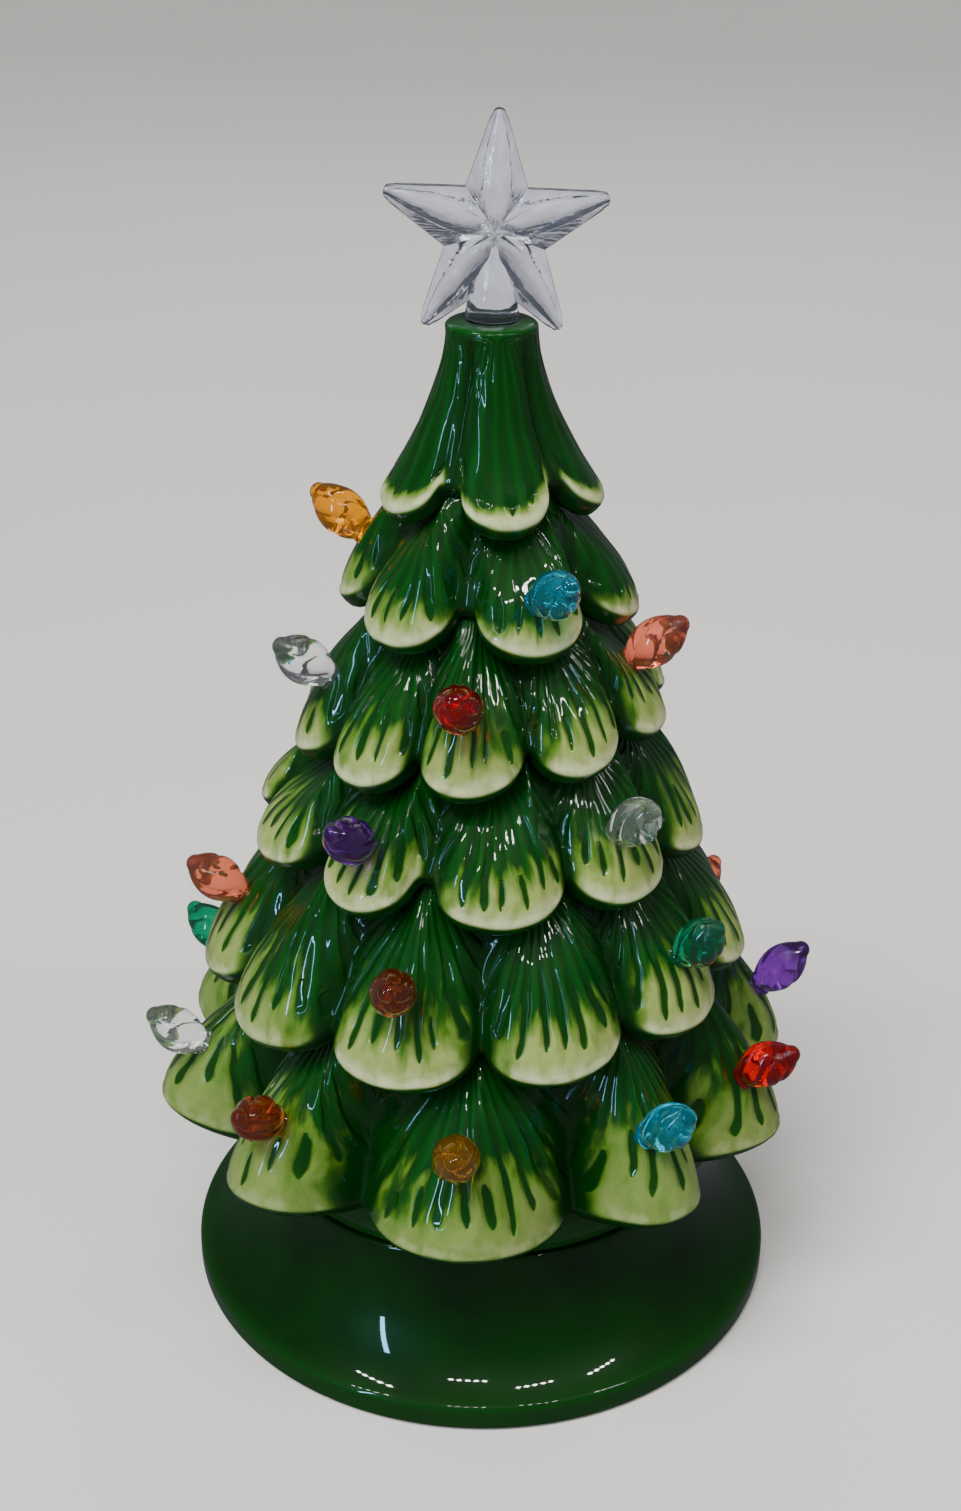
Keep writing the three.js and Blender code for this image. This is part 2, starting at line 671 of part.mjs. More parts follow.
// Wires: board to the first plate, last plate to the switch, and the switch back to the board
function wire(name, points, finish) {
  const path = new THREE.CatmullRomCurve3(points.map((p) => new THREE.Vector3(...p)), false, "catmullrom", 0.35);
  addPiece(name, rodAlong(path, wireRadius, 5, 14), finish);
}

const wireLevel = bayUnderTop - 1.3;
const boardWireEnd = boardFloor - joinGap;
const plateWireEnd = cellHeight + contactHeight / 2 + joinGap;
const switchWireEnd = plateTop + joinGap + switchHeight + joinGap;
const plateY = bayEnd - joinGap / 3 - contactThickness / 2 - 0.2;
wire("wire_1", [
  [-1.6, 0, boardWireEnd], [-1.6, 0, wireLevel + 2.5], [-1.8, 1, wireLevel - 0.2], [-8, plateY * 0.5, wireLevel],
  [-cellPitch, plateY - 2.4, wireLevel], [-cellPitch, plateY - wireRadius, plateWireEnd],
], "redWire");
wire("wire_2", [
  [cellPitch, -plateY + wireRadius, plateWireEnd], [cellPitch, -plateY + 3, wireLevel], [cellPitch, -4, wireLevel],
  [bayWidth / 2 - 3, 0, wireLevel], [bayEdge + 2.4, 0, wireLevel], [switchX, -0.4, switchWireEnd + 3],
  [switchX, -0.6, switchWireEnd],
], "housing");
wire("wire_3", [
  [switchX, switchTravel + 1, switchWireEnd], [switchX, switchTravel + 5, wireLevel - 0.8],
  [bayEdge + 2, bayLength / 2 - 4, wireLevel], [bayWidth / 2 - 4, bayLength / 2 - 4, wireLevel],
  [4, 8, wireLevel - 0.2], [1.8, 1, wireLevel - 0.2], [1.6, 0, wireLevel + 2.5], [1.6, 0, boardWireEnd],
], "redWire");

export default part;
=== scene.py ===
import json
import math

import bmesh
import bpy
import numpy as np
from mathutils import Matrix, Vector


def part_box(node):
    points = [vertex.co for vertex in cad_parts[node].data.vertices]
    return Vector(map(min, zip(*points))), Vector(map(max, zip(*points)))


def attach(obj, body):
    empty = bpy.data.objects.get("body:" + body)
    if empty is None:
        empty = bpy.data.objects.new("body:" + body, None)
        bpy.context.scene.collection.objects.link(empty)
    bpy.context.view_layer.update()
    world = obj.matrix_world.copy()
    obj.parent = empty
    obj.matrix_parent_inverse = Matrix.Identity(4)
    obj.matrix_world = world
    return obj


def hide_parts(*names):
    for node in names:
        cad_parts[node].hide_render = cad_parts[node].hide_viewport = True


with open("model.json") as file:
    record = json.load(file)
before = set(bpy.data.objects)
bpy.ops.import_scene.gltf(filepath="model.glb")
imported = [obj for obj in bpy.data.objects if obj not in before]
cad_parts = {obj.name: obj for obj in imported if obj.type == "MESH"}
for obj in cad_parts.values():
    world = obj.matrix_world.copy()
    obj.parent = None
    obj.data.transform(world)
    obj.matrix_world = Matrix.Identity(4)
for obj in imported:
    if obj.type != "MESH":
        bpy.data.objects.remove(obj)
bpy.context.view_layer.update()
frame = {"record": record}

mm = 0.001


def mix(a, b, t):
    return a + (b - a) * t


# Mesh helpers
def link(obj):
    bpy.context.scene.collection.objects.link(obj)
    return obj


def smoothed(obj):
    obj.data.polygons.foreach_set("use_smooth", [True] * len(obj.data.polygons))
    return obj


def meshFrom(name, vertices, faces):
    mesh = bpy.data.meshes.new(name)
    mesh.from_pydata([tuple(v) for v in vertices], [], [tuple(f) for f in faces])
    return smoothed(link(bpy.data.objects.new(name, mesh)))


# A node's two corners in millimetres
def boxOf(node):
    return [[value / mm for value in corner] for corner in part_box(node)]


# A ring-shaped solid from rings of points, with a pair of values per corner for each map
def gridMesh(name, points, layers):
    rings, columns = points.shape[:2]
    r = np.arange(rings)[:, None]
    c = np.arange(columns)[None, :]
    below = (r + 1) % rings
    after = (c + 1) % columns
    quads = np.stack([r * columns + c, below * columns + c, below * columns + after, r * columns + after], -1)
    obj = meshFrom(name, points.reshape(-1, 3).tolist(), quads.reshape(-1, 4).tolist())
    for layer, (start, end) in layers.items():
        uv = obj.data.uv_layers.new(name=layer)
        corners = np.stack([start[r, c], start[below, c], end[below, c], end[r, c]], 2)
        uv.data.foreach_set("uv", corners.astype(np.float32).ravel())
    obj.data.validate()
    return obj


def outward(obj):
    work = bmesh.new()
    work.from_mesh(obj.data)
    bmesh.ops.remove_doubles(work, verts=work.verts, dist=1e-7)
    bmesh.ops.recalc_face_normals(work, faces=work.faces)
    work.to_mesh(obj.data)
    work.free()


def creased(obj, degrees):
    obj.data.set_sharp_from_angle(angle=math.radians(degrees))
    return obj


# A turned piece from an outline of (radius, height) in millimetres that ends on the axis or closes on itself
def turned(name, outline, sides, centre=(0, 0, 0)):
    vertices = []
    rows = []
    for radius, height in outline:
        row = []
        for k in range(1 if radius < 1e-6 else sides):
            angle = 2 * math.pi * k / sides
            row.append(len(vertices))
            vertices.append(((centre[0] + radius * math.cos(angle)) * mm,
                             (centre[1] + radius * math.sin(angle)) * mm, (centre[2] + height) * mm))
        rows.append(row)
    closing = rows[:1] if len(rows[0]) > 1 else []
    faces = []
    for a, b in zip(rows, rows[1:] + closing):
        for k in range(sides):
            n = (k + 1) % sides
            if len(a) == 1 and len(b) > 1:
                faces.append((a[0], b[n], b[k]))
            elif len(b) == 1 and len(a) > 1:
                faces.append((a[k], a[n], b[0]))
            elif len(a) > 1 and len(b) > 1:
                faces.append((a[k], a[n], b[n], b[k]))
    obj = meshFrom(name, vertices, faces)
    outward(obj)
    return obj


def evaluated(obj, name):
    graph = bpy.context.evaluated_depsgraph_get()
    mesh = bpy.data.meshes.new_from_object(obj.evaluated_get(graph))
    mesh.name = name
    return link(bpy.data.objects.new(name, mesh))


def discard(*objects):
    for obj in objects:
        bpy.data.objects.remove(obj, do_unlink=True)


def combined(name, operation, first, *others):
    for other in others:
        modifier = first.modifiers.new("join", "BOOLEAN")
        modifier.operation = operation
        modifier.solver = "EXACT"
        modifier.object = other
    result = evaluated(first, name)
    discard(first, *others)
    return result


def united(name, first, *others):
    return combined(name, "UNION", first, *others)


def block(name, low, high):
    corners = [[(low, high)[bit][axis] * mm for axis, bit in enumerate(bits)]
               for bits in ((0, 0, 0), (1, 0, 0), (1, 1, 0), (0, 1, 0), (0, 0, 1), (1, 0, 1), (1, 1, 1), (0, 1, 1))]
    faces = [(0, 3, 2, 1), (4, 5, 6, 7), (0, 1, 5, 4), (1, 2, 6, 5), (2, 3, 7, 6), (3, 0, 4, 7)]
    obj = meshFrom(name, corners, faces)
    obj.data.shade_flat()
    return obj


# A copy of a frame node with its faces merged, finished by a modifier
def finished(name, node, kind, **settings):
    obj = link(bpy.data.objects.new(name + "Plain", bpy.data.objects[node].data.copy()))
    work = bmesh.new()
    work.from_mesh(obj.data)
    bmesh.ops.remove_doubles(work, verts=work.verts, dist=1e-6)
    bmesh.ops.dissolve_limit(work, angle_limit=math.radians(1), verts=work.verts, edges=work.edges)
    work.to_mesh(obj.data)
    work.free()
    modifier = obj.modifiers.new("finish", kind)
    for key, value in settings.items():
        setattr(modifier, key, value)
    result = evaluated(obj, name)
    discard(obj)
    return result


# Material helpers
def scaled(colour, share):
    return tuple(c * share for c in colour)


# A shader value that takes plain arithmetic
class Value:
    def __init__(self, nodes, socket):
        self.nodes = nodes
        self.socket = socket

    def __add__(self, other):
        return self.nodes.math("ADD", self, other)

    def __sub__(self, other):
        return self.nodes.math("SUBTRACT", self, other)

    def __rsub__(self, other):
        return self.nodes.math("SUBTRACT", other, self)

    def __mul__(self, other):
        return self.nodes.math("MULTIPLY", self, other)

    def __truediv__(self, other):
        return self.nodes.math("DIVIDE", self, other)

    def __pow__(self, other):
        return self.nodes.math("POWER", self, other)

    def __abs__(self):
        return self.nodes.math("ABSOLUTE", self)


class Nodes:
    def __init__(self, name):
        self.material = bpy.data.materials.new(name)
        self.material.use_nodes = True
        self.tree = self.material.node_tree
        self.shader = self.tree.nodes["Principled BSDF"]

    def add(self, kind, *values, **settings):
        node = self.tree.nodes.new(kind)
        for key, value in settings.items():
            setattr(node, key, value)
        for socket, value in zip(node.inputs, values):
            self.put(socket, value)
        return node

    def put(self, socket, value):
        if isinstance(value, Value):
            self.tree.links.new(value.socket, socket)
        elif isinstance(value, tuple):
            socket.default_value = (*value, 1.0)
        else:
            socket.default_value = value

    def out(self, node, index=0):
        return Value(self, node.outputs[index])

    def math(self, operation, *values):
        return self.out(self.add("ShaderNodeMath", *values, operation=operation))

    def ramp(self, value, low, high, first=0.0, second=1.0):
        limits = (low, high, first, second)
        return self.out(self.add("ShaderNodeMapRange", value, *limits, interpolation_type="SMOOTHSTEP"))

    def blend(self, factor, first, second):
        node = self.add("ShaderNodeMix", factor, data_type="RGBA")
        self.put(node.inputs[6], first)
        self.put(node.inputs[7], second)
        return self.out(node, 2)

    def join(self, *values):
        return self.out(self.add("ShaderNodeCombineXYZ", *values))

    def split(self, vector):
        node = self.add("ShaderNodeSeparateXYZ", vector)
        return [self.out(node, k) for k in range(3)]

    def map(self, name):
        return self.split(self.out(self.add("ShaderNodeUVMap", uv_map=name)))

    def noise(self, vector, scale, detail=2.0):
        node = self.add("ShaderNodeTexNoise")
        for key, value in (("Vector", vector), ("Scale", scale), ("Detail", detail)):
            self.put(node.inputs[key], value)
        return self.out(node)

    # Noise over the piece, the same spread over its full range, and a colour that varies with it
    def grain(self, scale, detail=2.0):
        return self.noise(self.place(), scale, detail)

    def spread(self, grain, first=0.0, second=1.0):
        return self.ramp(grain, 0.3, 0.7, first, second)

    def tone(self, scale, colour, share):
        return self.blend(self.spread(self.grain(scale)), colour, scaled(colour, share))

    def bump(self, height, strength, distance):
        node = self.add("ShaderNodeBump")
        for key, value in (("Strength", strength), ("Distance", distance), ("Height", height)):
            self.put(node.inputs[key], value)
        return self.out(node)

    def place(self):
        return self.out(self.add("ShaderNodeTexCoord"), 3)

    def length(self, first, second):
        return self.math("SQRT", first * first + second * second)

    def give(self, **values):
        for key, value in values.items():
            self.put(self.shader.inputs[key.replace("_", " ")], value)
        return self.material


glazeSet = {"deep": (0.0008, 0.02, 0.0012), "leaf": (0.002, 0.058, 0.003), "light": (0.012, 0.11, 0.006),
            "lime": (0.07, 0.165, 0.01), "olive": (0.16, 0.235, 0.05), "cream": (0.29, 0.36, 0.095),
            "pale": (0.55, 0.58, 0.32), "limits": [2.3, 4.8, 8.0, 9.5, 12.0, 15.0], "roughness": 0.35, "coat": 0.85,
            "patchScale": 75.0, "mottleScale": 380.0, "streaky": 2.4, "patchy": 1.5, "sideFade": 0.95,
            "creamFade": (1.65, 0.1), "creamUnder": (-2.1, -0.7), "creamAside": (0.93, 0.66), "reliefDepth": 0.7,
            "usualReach": (0.8, 1.2), "usualTilt": (-0.4, 0.4), "seed": 7}
# Green strokes on the boughs' ends: heights in mm, widths as shares of a needle
strokeSet = {"sway": 1.1, "lowest": 1.2, "lowShare": 0.42, "longShare": 0.7, "taper": 2.0, "blunt": 0.4,
             "width": 0.125, "moreWidth": 0.07, "far": 60.0}
seedStep = 20  # between the tiers, in the numbers that seed their boughs


# Bough glaze: green in the grooves and valleys, with painted shade darkening the valleys, cream on the ends,
# yellow-green where they meet
def boughGlaze():
    g = glazeSet
    k = strokeSet
    n = Nodes("boughGlaze")
    across, above, _ = n.map("needle")
    seedHere, sideHere, _ = n.map("bough")
    limit, tilt, _ = n.map("extent")
    seed = n.math("FLOOR", seedHere + 0.5)
    tierNumber = seed / seedStep
    side = abs(sideHere)
    share = above / limit
    place = n.place()
    patch = n.noise(place, g["patchScale"])
    # needles sway a little
    sway = n.noise(n.join(across * 0.5, above * 0.06, seed), 1.0)
    swayed = (sway - 0.5) * k["sway"] + across
    cell = n.math("FLOOR", swayed)
    part = swayed - cell - 0.5
    chance = n.add("ShaderNodeTexWhiteNoise", n.join(cell, seed), noise_dimensions="3D")
    draws = n.add("ShaderNodeSeparateColor", n.out(chance, 1))
    first, second, third = [n.out(draws, channel) for channel in range(3)]
    # a stroke in the middle of each needle: a lens on about three in ten, open upwards on the rest
    aside = abs(part - (first - 0.5) * 0.18)
    rise = above - (second ** 1.3 * (limit * k["lowShare"]) + k["lowest"])
    shortEnd = first * 3.0 + (limit * 0.15 + 4.0)
    upperEnd = n.math("GREATER_THAN", third, k["longShare"]) * (shortEnd - k["far"]) + k["far"]
    lensLow = n.ramp(rise, -0.2, k["taper"]) ** k["blunt"]
    lensHigh = n.ramp(upperEnd - rise, 0.0, k["taper"]) ** k["blunt"]
    edge = lensLow * lensHigh * (first * k["moreWidth"] + k["width"]) - aside
    present = n.ramp(lensLow, 0.0, 0.25) * n.ramp(lensHigh, 0.0, 0.25)
    stroke = n.ramp(edge, -0.075, 0.055) * present
    halo = n.ramp(edge, -0.17, 0.05) * present
    groove = halo * n.ramp(rise, -0.4, 1.6) * n.ramp(share, 2.4, 1.0, 0.15, 1.0)
    # cream fades upwards and stops before the valleys and under the rounded end
    streaks = n.noise(n.join(swayed * 1.5, above * 0.11, seed), 1.0, 3.0)
    fade = (streaks - 0.5) * g["streaky"] + share + (patch - 0.5) * g["patchy"]
    fade = side ** 2.6 * g["sideFade"] + fade - tilt * sideHere
    under = n.ramp(above + (patch - 0.5) * 1.6, *g["creamUnder"])
    paint = n.ramp(fade, *g["creamFade"]) * under * n.ramp((patch - 0.5) * 0.3 + side, *g["creamAside"])
    paint = paint * (1.0 - stroke * 0.9)
    # colours
    thick = n.ramp(abs(part), 0.15, 0.5) * n.ramp(above, -0.5, 2.0)
    green = n.blend(thick * 0.45 + patch * 0.6, g["deep"], g["leaf"])
    green = n.blend(n.ramp(streaks, 0.5, 0.8) * n.ramp(share, 2.6, 1.0, 0.0, 0.4), green, g["light"])
    # painted shade: the green darkens to deep green towards the valleys between boughs, where some glaze also pools
    green = n.blend(n.ramp(side, 0.55, 1.0, 0.0, 0.85), green, g["deep"])
    limed = n.blend(n.ramp(paint, 0.02, 0.5), green, g["lime"])
    mottle = n.noise(place, g["mottleScale"], 3.0)
    cream = n.blend(n.ramp(mottle * 0.8 + above / 5.0, 0.9, 0.1), g["cream"], g["pale"])
    dull = n.ramp(tierNumber, 3.9, 5.0, 0.0, 0.75) + n.ramp(fade, 0.1, 0.9, 0.0, 0.75)
    dull = n.math("MINIMUM", dull + n.ramp(mottle, 0.45, 0.75, 0.0, 0.3), 1.0)
    cream = n.blend(halo * 0.55, n.blend(dull, cream, g["olive"]), g["olive"])
    colour = n.blend(n.ramp(paint, 0.25, 0.95), limed, cream)
    # relief: soft flutes in the green, grooves cut into the ends, a little hand-made waviness
    flutes = (n.math("COSINE", part * (2 * math.pi)) * n.ramp(tierNumber, 0.0, 3.0, -0.05, -0.13)
              * n.ramp(share, 3.6, 0.9, 0.25, 1.0))
    height = flutes * n.ramp(above, 0.5, 5.0) - groove * 0.6
    normal = n.bump(n.noise(place, 110.0, 1.5) * 0.6 + height, 0.85, g["reliefDepth"] * mm)
    return n.give(Base_Color=colour, Roughness=g["roughness"], Specular_IOR_Level=0.1, Coat_Weight=g["coat"],
                  Coat_Roughness=0.02, Coat_IOR=1.5, Normal=normal, Coat_Normal=normal)


# the rim colour is painted light, a lighter green for the lit rim
baseGlazeSet = {"dark": (0.0004, 0.015, 0.0006), "green": (0.0007, 0.028, 0.0007), "rim": (0.004, 0.05, 0.004),
                "clay": (0.36, 0.3, 0.25), "rimTop": 5.5, "bareTop": 0.6}


def baseGlaze():
    g = baseGlazeSet
    n = Nodes("baseGlaze")
    height = n.split(n.place())[2] / mm
    colour = n.blend(n.spread(n.grain(55.0, 3.0)), g["dark"], g["green"])
    # painted light: below rimTop the glaze turns a lighter green, standing in for the lit rim beyond the tree's shade
    colour = n.blend(n.ramp(height, g["rimTop"] + 1.0, g["rimTop"] - 1.0, 0.0, 0.5), colour, g["rim"])
    bare = n.ramp(height, g["bareTop"] + 0.2, g["bareTop"] - 0.2)
    return n.give(Base_Color=n.blend(bare, colour, g["clay"]), Roughness=n.ramp(bare, 0.0, 1.0, 0.35, 0.75),
                  Specular_IOR_Level=0.1, Coat_Weight=(1.0 - bare) * glazeSet["coat"], Coat_Roughness=0.03,
                  Coat_IOR=1.5, Coat_Normal=n.bump(n.grain(40.0, 1.0), 0.25, 0.0008))


bulbTints = {
    "clear": (0.97, 0.975, 0.99), "red": (0.7, 0.001, 0.003), "amber": (0.96, 0.36, 0.001),
    "copper": (0.52, 0.07, 0.018), "salmon": (0.95, 0.22, 0.12), "aqua": (0.008, 0.56, 0.8),
    "green": (0.0, 0.3, 0.14), "purple": (0.19, 0.03, 0.42),
}
plasticIndex = 1.49


def clearPlastic(name, tint, transmission):
    n = Nodes(name)
    shade = n.blend(n.ramp(n.grain(90.0), 0.35, 0.65, 0.0, 0.25), tint, scaled(tint, 0.8))
    return n.give(Base_Color=shade, Transmission_Weight=transmission, IOR=plasticIndex, Roughness=0.015,
                  Coat_Weight=1.0, Coat_Roughness=0.01, Coat_IOR=1.5, Normal=n.bump(n.grain(150.0, 1.0), 0.12, 0.0004))


# Star in millimetres, heights up from its seat; the scales are by angle, by reach and through its thickness
starSet = {"radius": 19.3, "notch": 8.6, "thickness": 7.0, "edge": 2.0, "height": 14.6, "lean": 1.5,
           "tipWidth": 0.95, "ribWidth": 1.75, "bump": 0.8, "stemTop": 3.3, "stemFoot": 4.4, "plugRadius": 3.5,
           "plugLength": 8.0, "tint": (0.84, 0.855, 1.0), "transmission": 0.98, "streakScales": (14.0, 110.0, 60.0),
           "waveScales": (4.0, 260.0, 120.0), "waveShare": 1.6}


# Star: clear plastic with broad waves and fine streaks along each arm; the streaks are relief and also darken its tint
# as painted shade
def starPlastic():
    s = starSet
    n = Nodes("starPlastic")
    x, y, z = n.split(n.place())
    lift = z - (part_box("star_topper")[1][2] - s["radius"] * mm)
    angle = n.math("ARCTAN2", x, lift)
    reach = n.length(x, lift)
    fine, broad = ([value * scale for value, scale in zip((angle, reach, y), s[key])]
                   for key in ("streakScales", "waveScales"))
    streak = n.noise(n.join(*broad), 1.0, 1.0) * s["waveShare"] + n.noise(n.join(*fine), 1.0)
    # painted shade: where the streaks run strong the tint darkens, standing in for the dark lines its facets show
    tint = n.blend(n.ramp(streak, 1.05, 1.55), s["tint"], scaled(s["tint"], 0.82))
    normal = n.bump(streak, 0.22, 0.0006)
    return n.give(Base_Color=tint, Transmission_Weight=s["transmission"], IOR=plasticIndex, Roughness=0.02,
                  Coat_Weight=1.0, Coat_Roughness=0.03, Coat_IOR=1.6, Normal=normal, Coat_Normal=normal)


def mouldedPlastic(name, colour, roughness=0.5):
    n = Nodes(name)
    grain = n.grain(2600.0)
    return n.give(Base_Color=n.tone(90.0, colour, 1.25), Normal=n.bump(grain, 0.2, 0.0002),
                  Roughness=n.spread(grain, roughness * 0.9, roughness * 1.1))


def platedMetal(name, colour):
    n = Nodes(name)
    return n.give(Base_Color=colour, Metallic=1.0, Roughness=n.spread(n.grain(900.0), 0.18, 0.34))


# Light unit in millimetres
unitSet = {"sides": 128, "edge": 0.25, "metalEdge": 0.12, "cupWall": 2.0, "boss": 12.0, "wireHole": 3.0,
           "bayWidth": 35.6, "bayLength": 51.0, "bayWall": 1.3, "doorHeight": 19.2, "underTop": 21.2, "topHeight": 23.2,
           "cellPitch": 11.7, "cellHeight": 10.85, "cellRadius": 5.25, "nubRadius": 1.9, "nubLength": 1.0,
           "cellLength": 44.5, "springWide": 3.4, "springNarrow": 2.3, "springLength": 4.6, "springTurns": 3.0,
           "springWire": 0.4, "springRoot": 24.85, "lampRadius": 2.5, "lampHeight": 8.0, "domeWall": 1.2,
           "domeShoulder": 33.4, "domeFlat": 0.62}


# The band and the bare cap are measured from the far end, the bare foot from the near one
cellSet = {"sleeve": (0.028, 0.03, 0.034), "band": (0.5, 0.36, 0.08), "worn": (0.2, 0.2, 0.2),
           "metal": (0.6, 0.6, 0.58), "bandStart": 15.0, "bandEnd": 4.0, "cap": 1.75, "foot": 0.7}


# Cells: dark sleeve with a lighter band, bare metal at both ends, following a map along their length
def cellSleeve():
    c = cellSet
    n = Nodes("cellSleeve")
    along = n.map("length")[0]
    start, end, cap = (unitSet["cellLength"] - c[key] for key in ("bandStart", "bandEnd", "cap"))
    band = n.ramp(along, start, start + 0.4) * n.ramp(along, end + 0.4, end)
    bare = n.math("MAXIMUM", n.ramp(along, c["foot"] + 0.2, c["foot"]), n.ramp(along, cap, cap + 0.15))
    scuff = n.grain(400.0, 3.0)
    colour = n.blend(band, c["sleeve"], c["band"])
    colour = n.blend(n.ramp(scuff, 0.5, 0.8, 0.0, 0.15), colour, c["worn"])
    return n.give(Base_Color=n.blend(bare, colour, c["metal"]), Metallic=bare, Roughness=n.spread(scuff, 0.22, 0.4),
                  Coat_Weight=0.3)


boardSet = {"white": (0.66, 0.67, 0.62), "copper": (0.55, 0.53, 0.42), "tin": (0.6, 0.58, 0.54),
            "ring": (9.2, 10.0), "hub": (1.1, 2.8)}


# Lamp board: white lacquer with a tinned ring round its middle and a wide one of copper under the lacquer
def boardLacquer():
    b = boardSet
    n = Nodes("boardLacquer")
    x, y, _ = n.split(n.place())
    reach = n.length(x, y) / mm
    ring, hub = (n.ramp(reach, low - 0.1, low + 0.1) * n.ramp(reach, high + 0.1, high - 0.1)
                 for low, high in (b["ring"], b["hub"]))
    return n.give(Base_Color=n.blend(hub, n.blend(ring, b["white"], b["copper"]), b["tin"]), Metallic=hub * 0.9,
                  Roughness=n.spread(n.grain(1200.0), 0.25, 0.4))


# Frosted plastic lets light through and blurs it
def frostedPlastic(name, tint, roughness, transmission):
    n = Nodes(name)
    grain = n.grain(1800.0)
    return n.give(Base_Color=n.tone(70.0, tint, 0.94), Transmission_Weight=transmission, IOR=plasticIndex,
                  Roughness=n.spread(grain, roughness * 0.9, roughness * 1.1), Normal=n.bump(grain, 0.15, 0.0001))


print("stage: materials")
looks = {
    "bough": boughGlaze(),
    "base": baseGlaze(),
    "star": starPlastic(),
    "housing": mouldedPlastic("housingPlastic", (0.018, 0.019, 0.02)),
    "cell": cellSleeve(),
    "board": mouldedPlastic("boardWhite", (0.62, 0.63, 0.58), 0.35),
    "lacquer": boardLacquer(),
    "frost": frostedPlastic("domeFrost", (0.9, 0.89, 0.86), 0.5, 0.45),
    "epoxy": frostedPlastic("lampEpoxy", (0.93, 0.9, 0.72), 0.12, 0.8),
    "metal": platedMetal("contactMetal", (0.6, 0.6, 0.58)),
    "redWire": mouldedPlastic("wireRed", (0.45, 0.01, 0.012), 0.4),
    "blackWire": mouldedPlastic("wireBlack", (0.015, 0.015, 0.016), 0.4),
}
for tint, rgb in bulbTints.items():
    looks[tint] = clearPlastic("bulb" + tint.capitalize(), rgb, 0.97 if tint == "clear" else 0.92)


def enter(obj, look, slot, body, *nodes):
    obj.data.materials.clear()
    obj.data.materials.append(looks[look])
    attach(obj, body)
    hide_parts(*nodes)


# The tree in its own millimetres, heights up from its foot. Valleys are the angles where boughs meet.
treeSet = {"topRadius": 7.9, "topRound": 1.2, "height": 161.5, "footRadius": 43.7, "lip": 3.6, "wall": 4.5,
           "boreRadius": 4.0, "boreDepth": 12.0, "mouthHeight": 6.0, "mouthGap": 0.5, "upperRings": 28,
           "crownColumns": 480, "skirtColumns": 600, "fanRoom": 5.0, "fanLeast": 4.0, "unevenness": 0.16,
           "valleySink": 1.3, "topEdge": 1.6, "crownAbove": 60.0, "footAbove": -6.0}
tierSet = [
    {"valleys": [-26, 46, 118, 190, 262], "tip": (19.7, 132.6), "valley": (15.2, 138.0), "waist": 13.0,
     "tilt": 0.0, "shift": 0.0, "spread": 0.78, "roundness": 0.55, "funnel": True, "pitch": 4.4,
     "cream": {0: (0.9, 0.9), 1: (0.7, 0.0), 4: (0.75, 0.0)}},
    {"valleys": [-11, 52, 116, 180, 230, 288], "tip": (26.6, 112.8), "valley": (20.0, 118.5), "waist": 17.8,
     "tilt": 0.0, "shift": 0.0, "spread": 0.84, "roundness": 0.55, "pitch": 4.2,
     "cream": {0: (0.8, 0.7), 1: (0.6, 0.3), 5: (1.1, -0.3)}},
    {"valleys": [-24, 14.5, 51.5, 87, 123, 159, 195, 231, 267, 301], "tip": (34.0, 91.1), "valley": (28.0, 96.5),
     "waist": 25.0, "tilt": 3.2, "shift": 1.0, "spread": 0.97, "roundness": 0.55, "pitch": 4.0,
     "cream": {0: (1.2, 0.0), 1: (1.1, 0.1), 9: (1.1, 0.0)}},
    {"valleys": [-15, 23.5, 60, 95, 130.5, 166, 202, 237.5, 273, 308.5], "tip": (41.8, 69.8), "valley": (35.0, 75.0),
     "waist": 32.0, "tilt": 0.0, "shift": 1.5, "spread": 0.98, "roundness": 0.55, "narrow": {9: 0.76}, "pitch": 4.2,
     "cream": {0: (0.7, 0.35), 1: (1.0, 0.0), 9: (0.85, -0.4)}},
    {"valleys": [-35.5, -0.5, 34, 67.5, 100, 132, 164, 196, 228, 260, 291.5], "tip": (51.3, 43.3),
     "valley": (43.0, 48.0), "waist": 40.0, "tilt": 2.0, "shift": 2.0, "spread": 1.0, "roundness": 0.55, "pitch": 4.6,
     "cream": {0: (1.0, 0.0), 1: (0.7, 0.25), 10: (0.85, -0.1)}},
    {"valleys": [-27, 21, 52, 84, 115, 146, 174, 202, 230, 265, 300], "tip": (61.5, 15.5), "valley": (46.5, 12.0),
     "waist": 43.7, "tilt": 0.0, "shift": 1.5, "spread": 1.0, "roundness": 1.1, "pitch": 4.9,
     "cream": {0: (0.65, 0.25), 1: (1.05, 0.2), 10: (1.05, -0.1)}},
]

# Tree form, the same as the frame's tree_shell
treeFoot = boxOf("tree_shell")[0][2]


def widthsOf(tier):
    valleys = np.array(tier["valleys"], float)
    return (np.roll(valleys, -1) - valleys) % 360


def acrossBough(tier, angles):
    valleys = np.array(tier["valleys"], float)
    widths = widthsOf(tier)
    turn = (np.asarray(angles, float)[:, None] - valleys) % 360
    bough = (turn < widths).argmax(1)
    return 2 * turn[np.arange(len(bough)), bough] / widths[bough] - 1, bough


def fullness(tier, side, bough, down):
    slim = np.array([tier.get("narrow", {}).get(k, 1) for k in range(len(tier["valleys"]))])[bough]
    width = tier["spread"] * slim * mix(0.62, 1, math.sqrt(down))
    return (1 - np.minimum(1, np.abs(side) / width) ** 2) ** tier["roundness"]


def reachAt(tier, angles, full):
    sine = np.sin(np.radians(angles))
    radius = mix(tier["valley"][0], tier["tip"][0], full) - tier["shift"] * sine
    return radius, mix(tier["valley"][1], tier["tip"][1], full) + tier["tilt"] * sine


def waistAt(tier, angles, side=None, bough=None):
    if side is None:
        side, bough = acrossBough(tier, angles)
    height = reachAt(tier, angles, fullness(tier, side, bough, 1.0))[1] - 0.8 * treeSet["lip"]
    return np.full_like(height, tier["waist"]), height


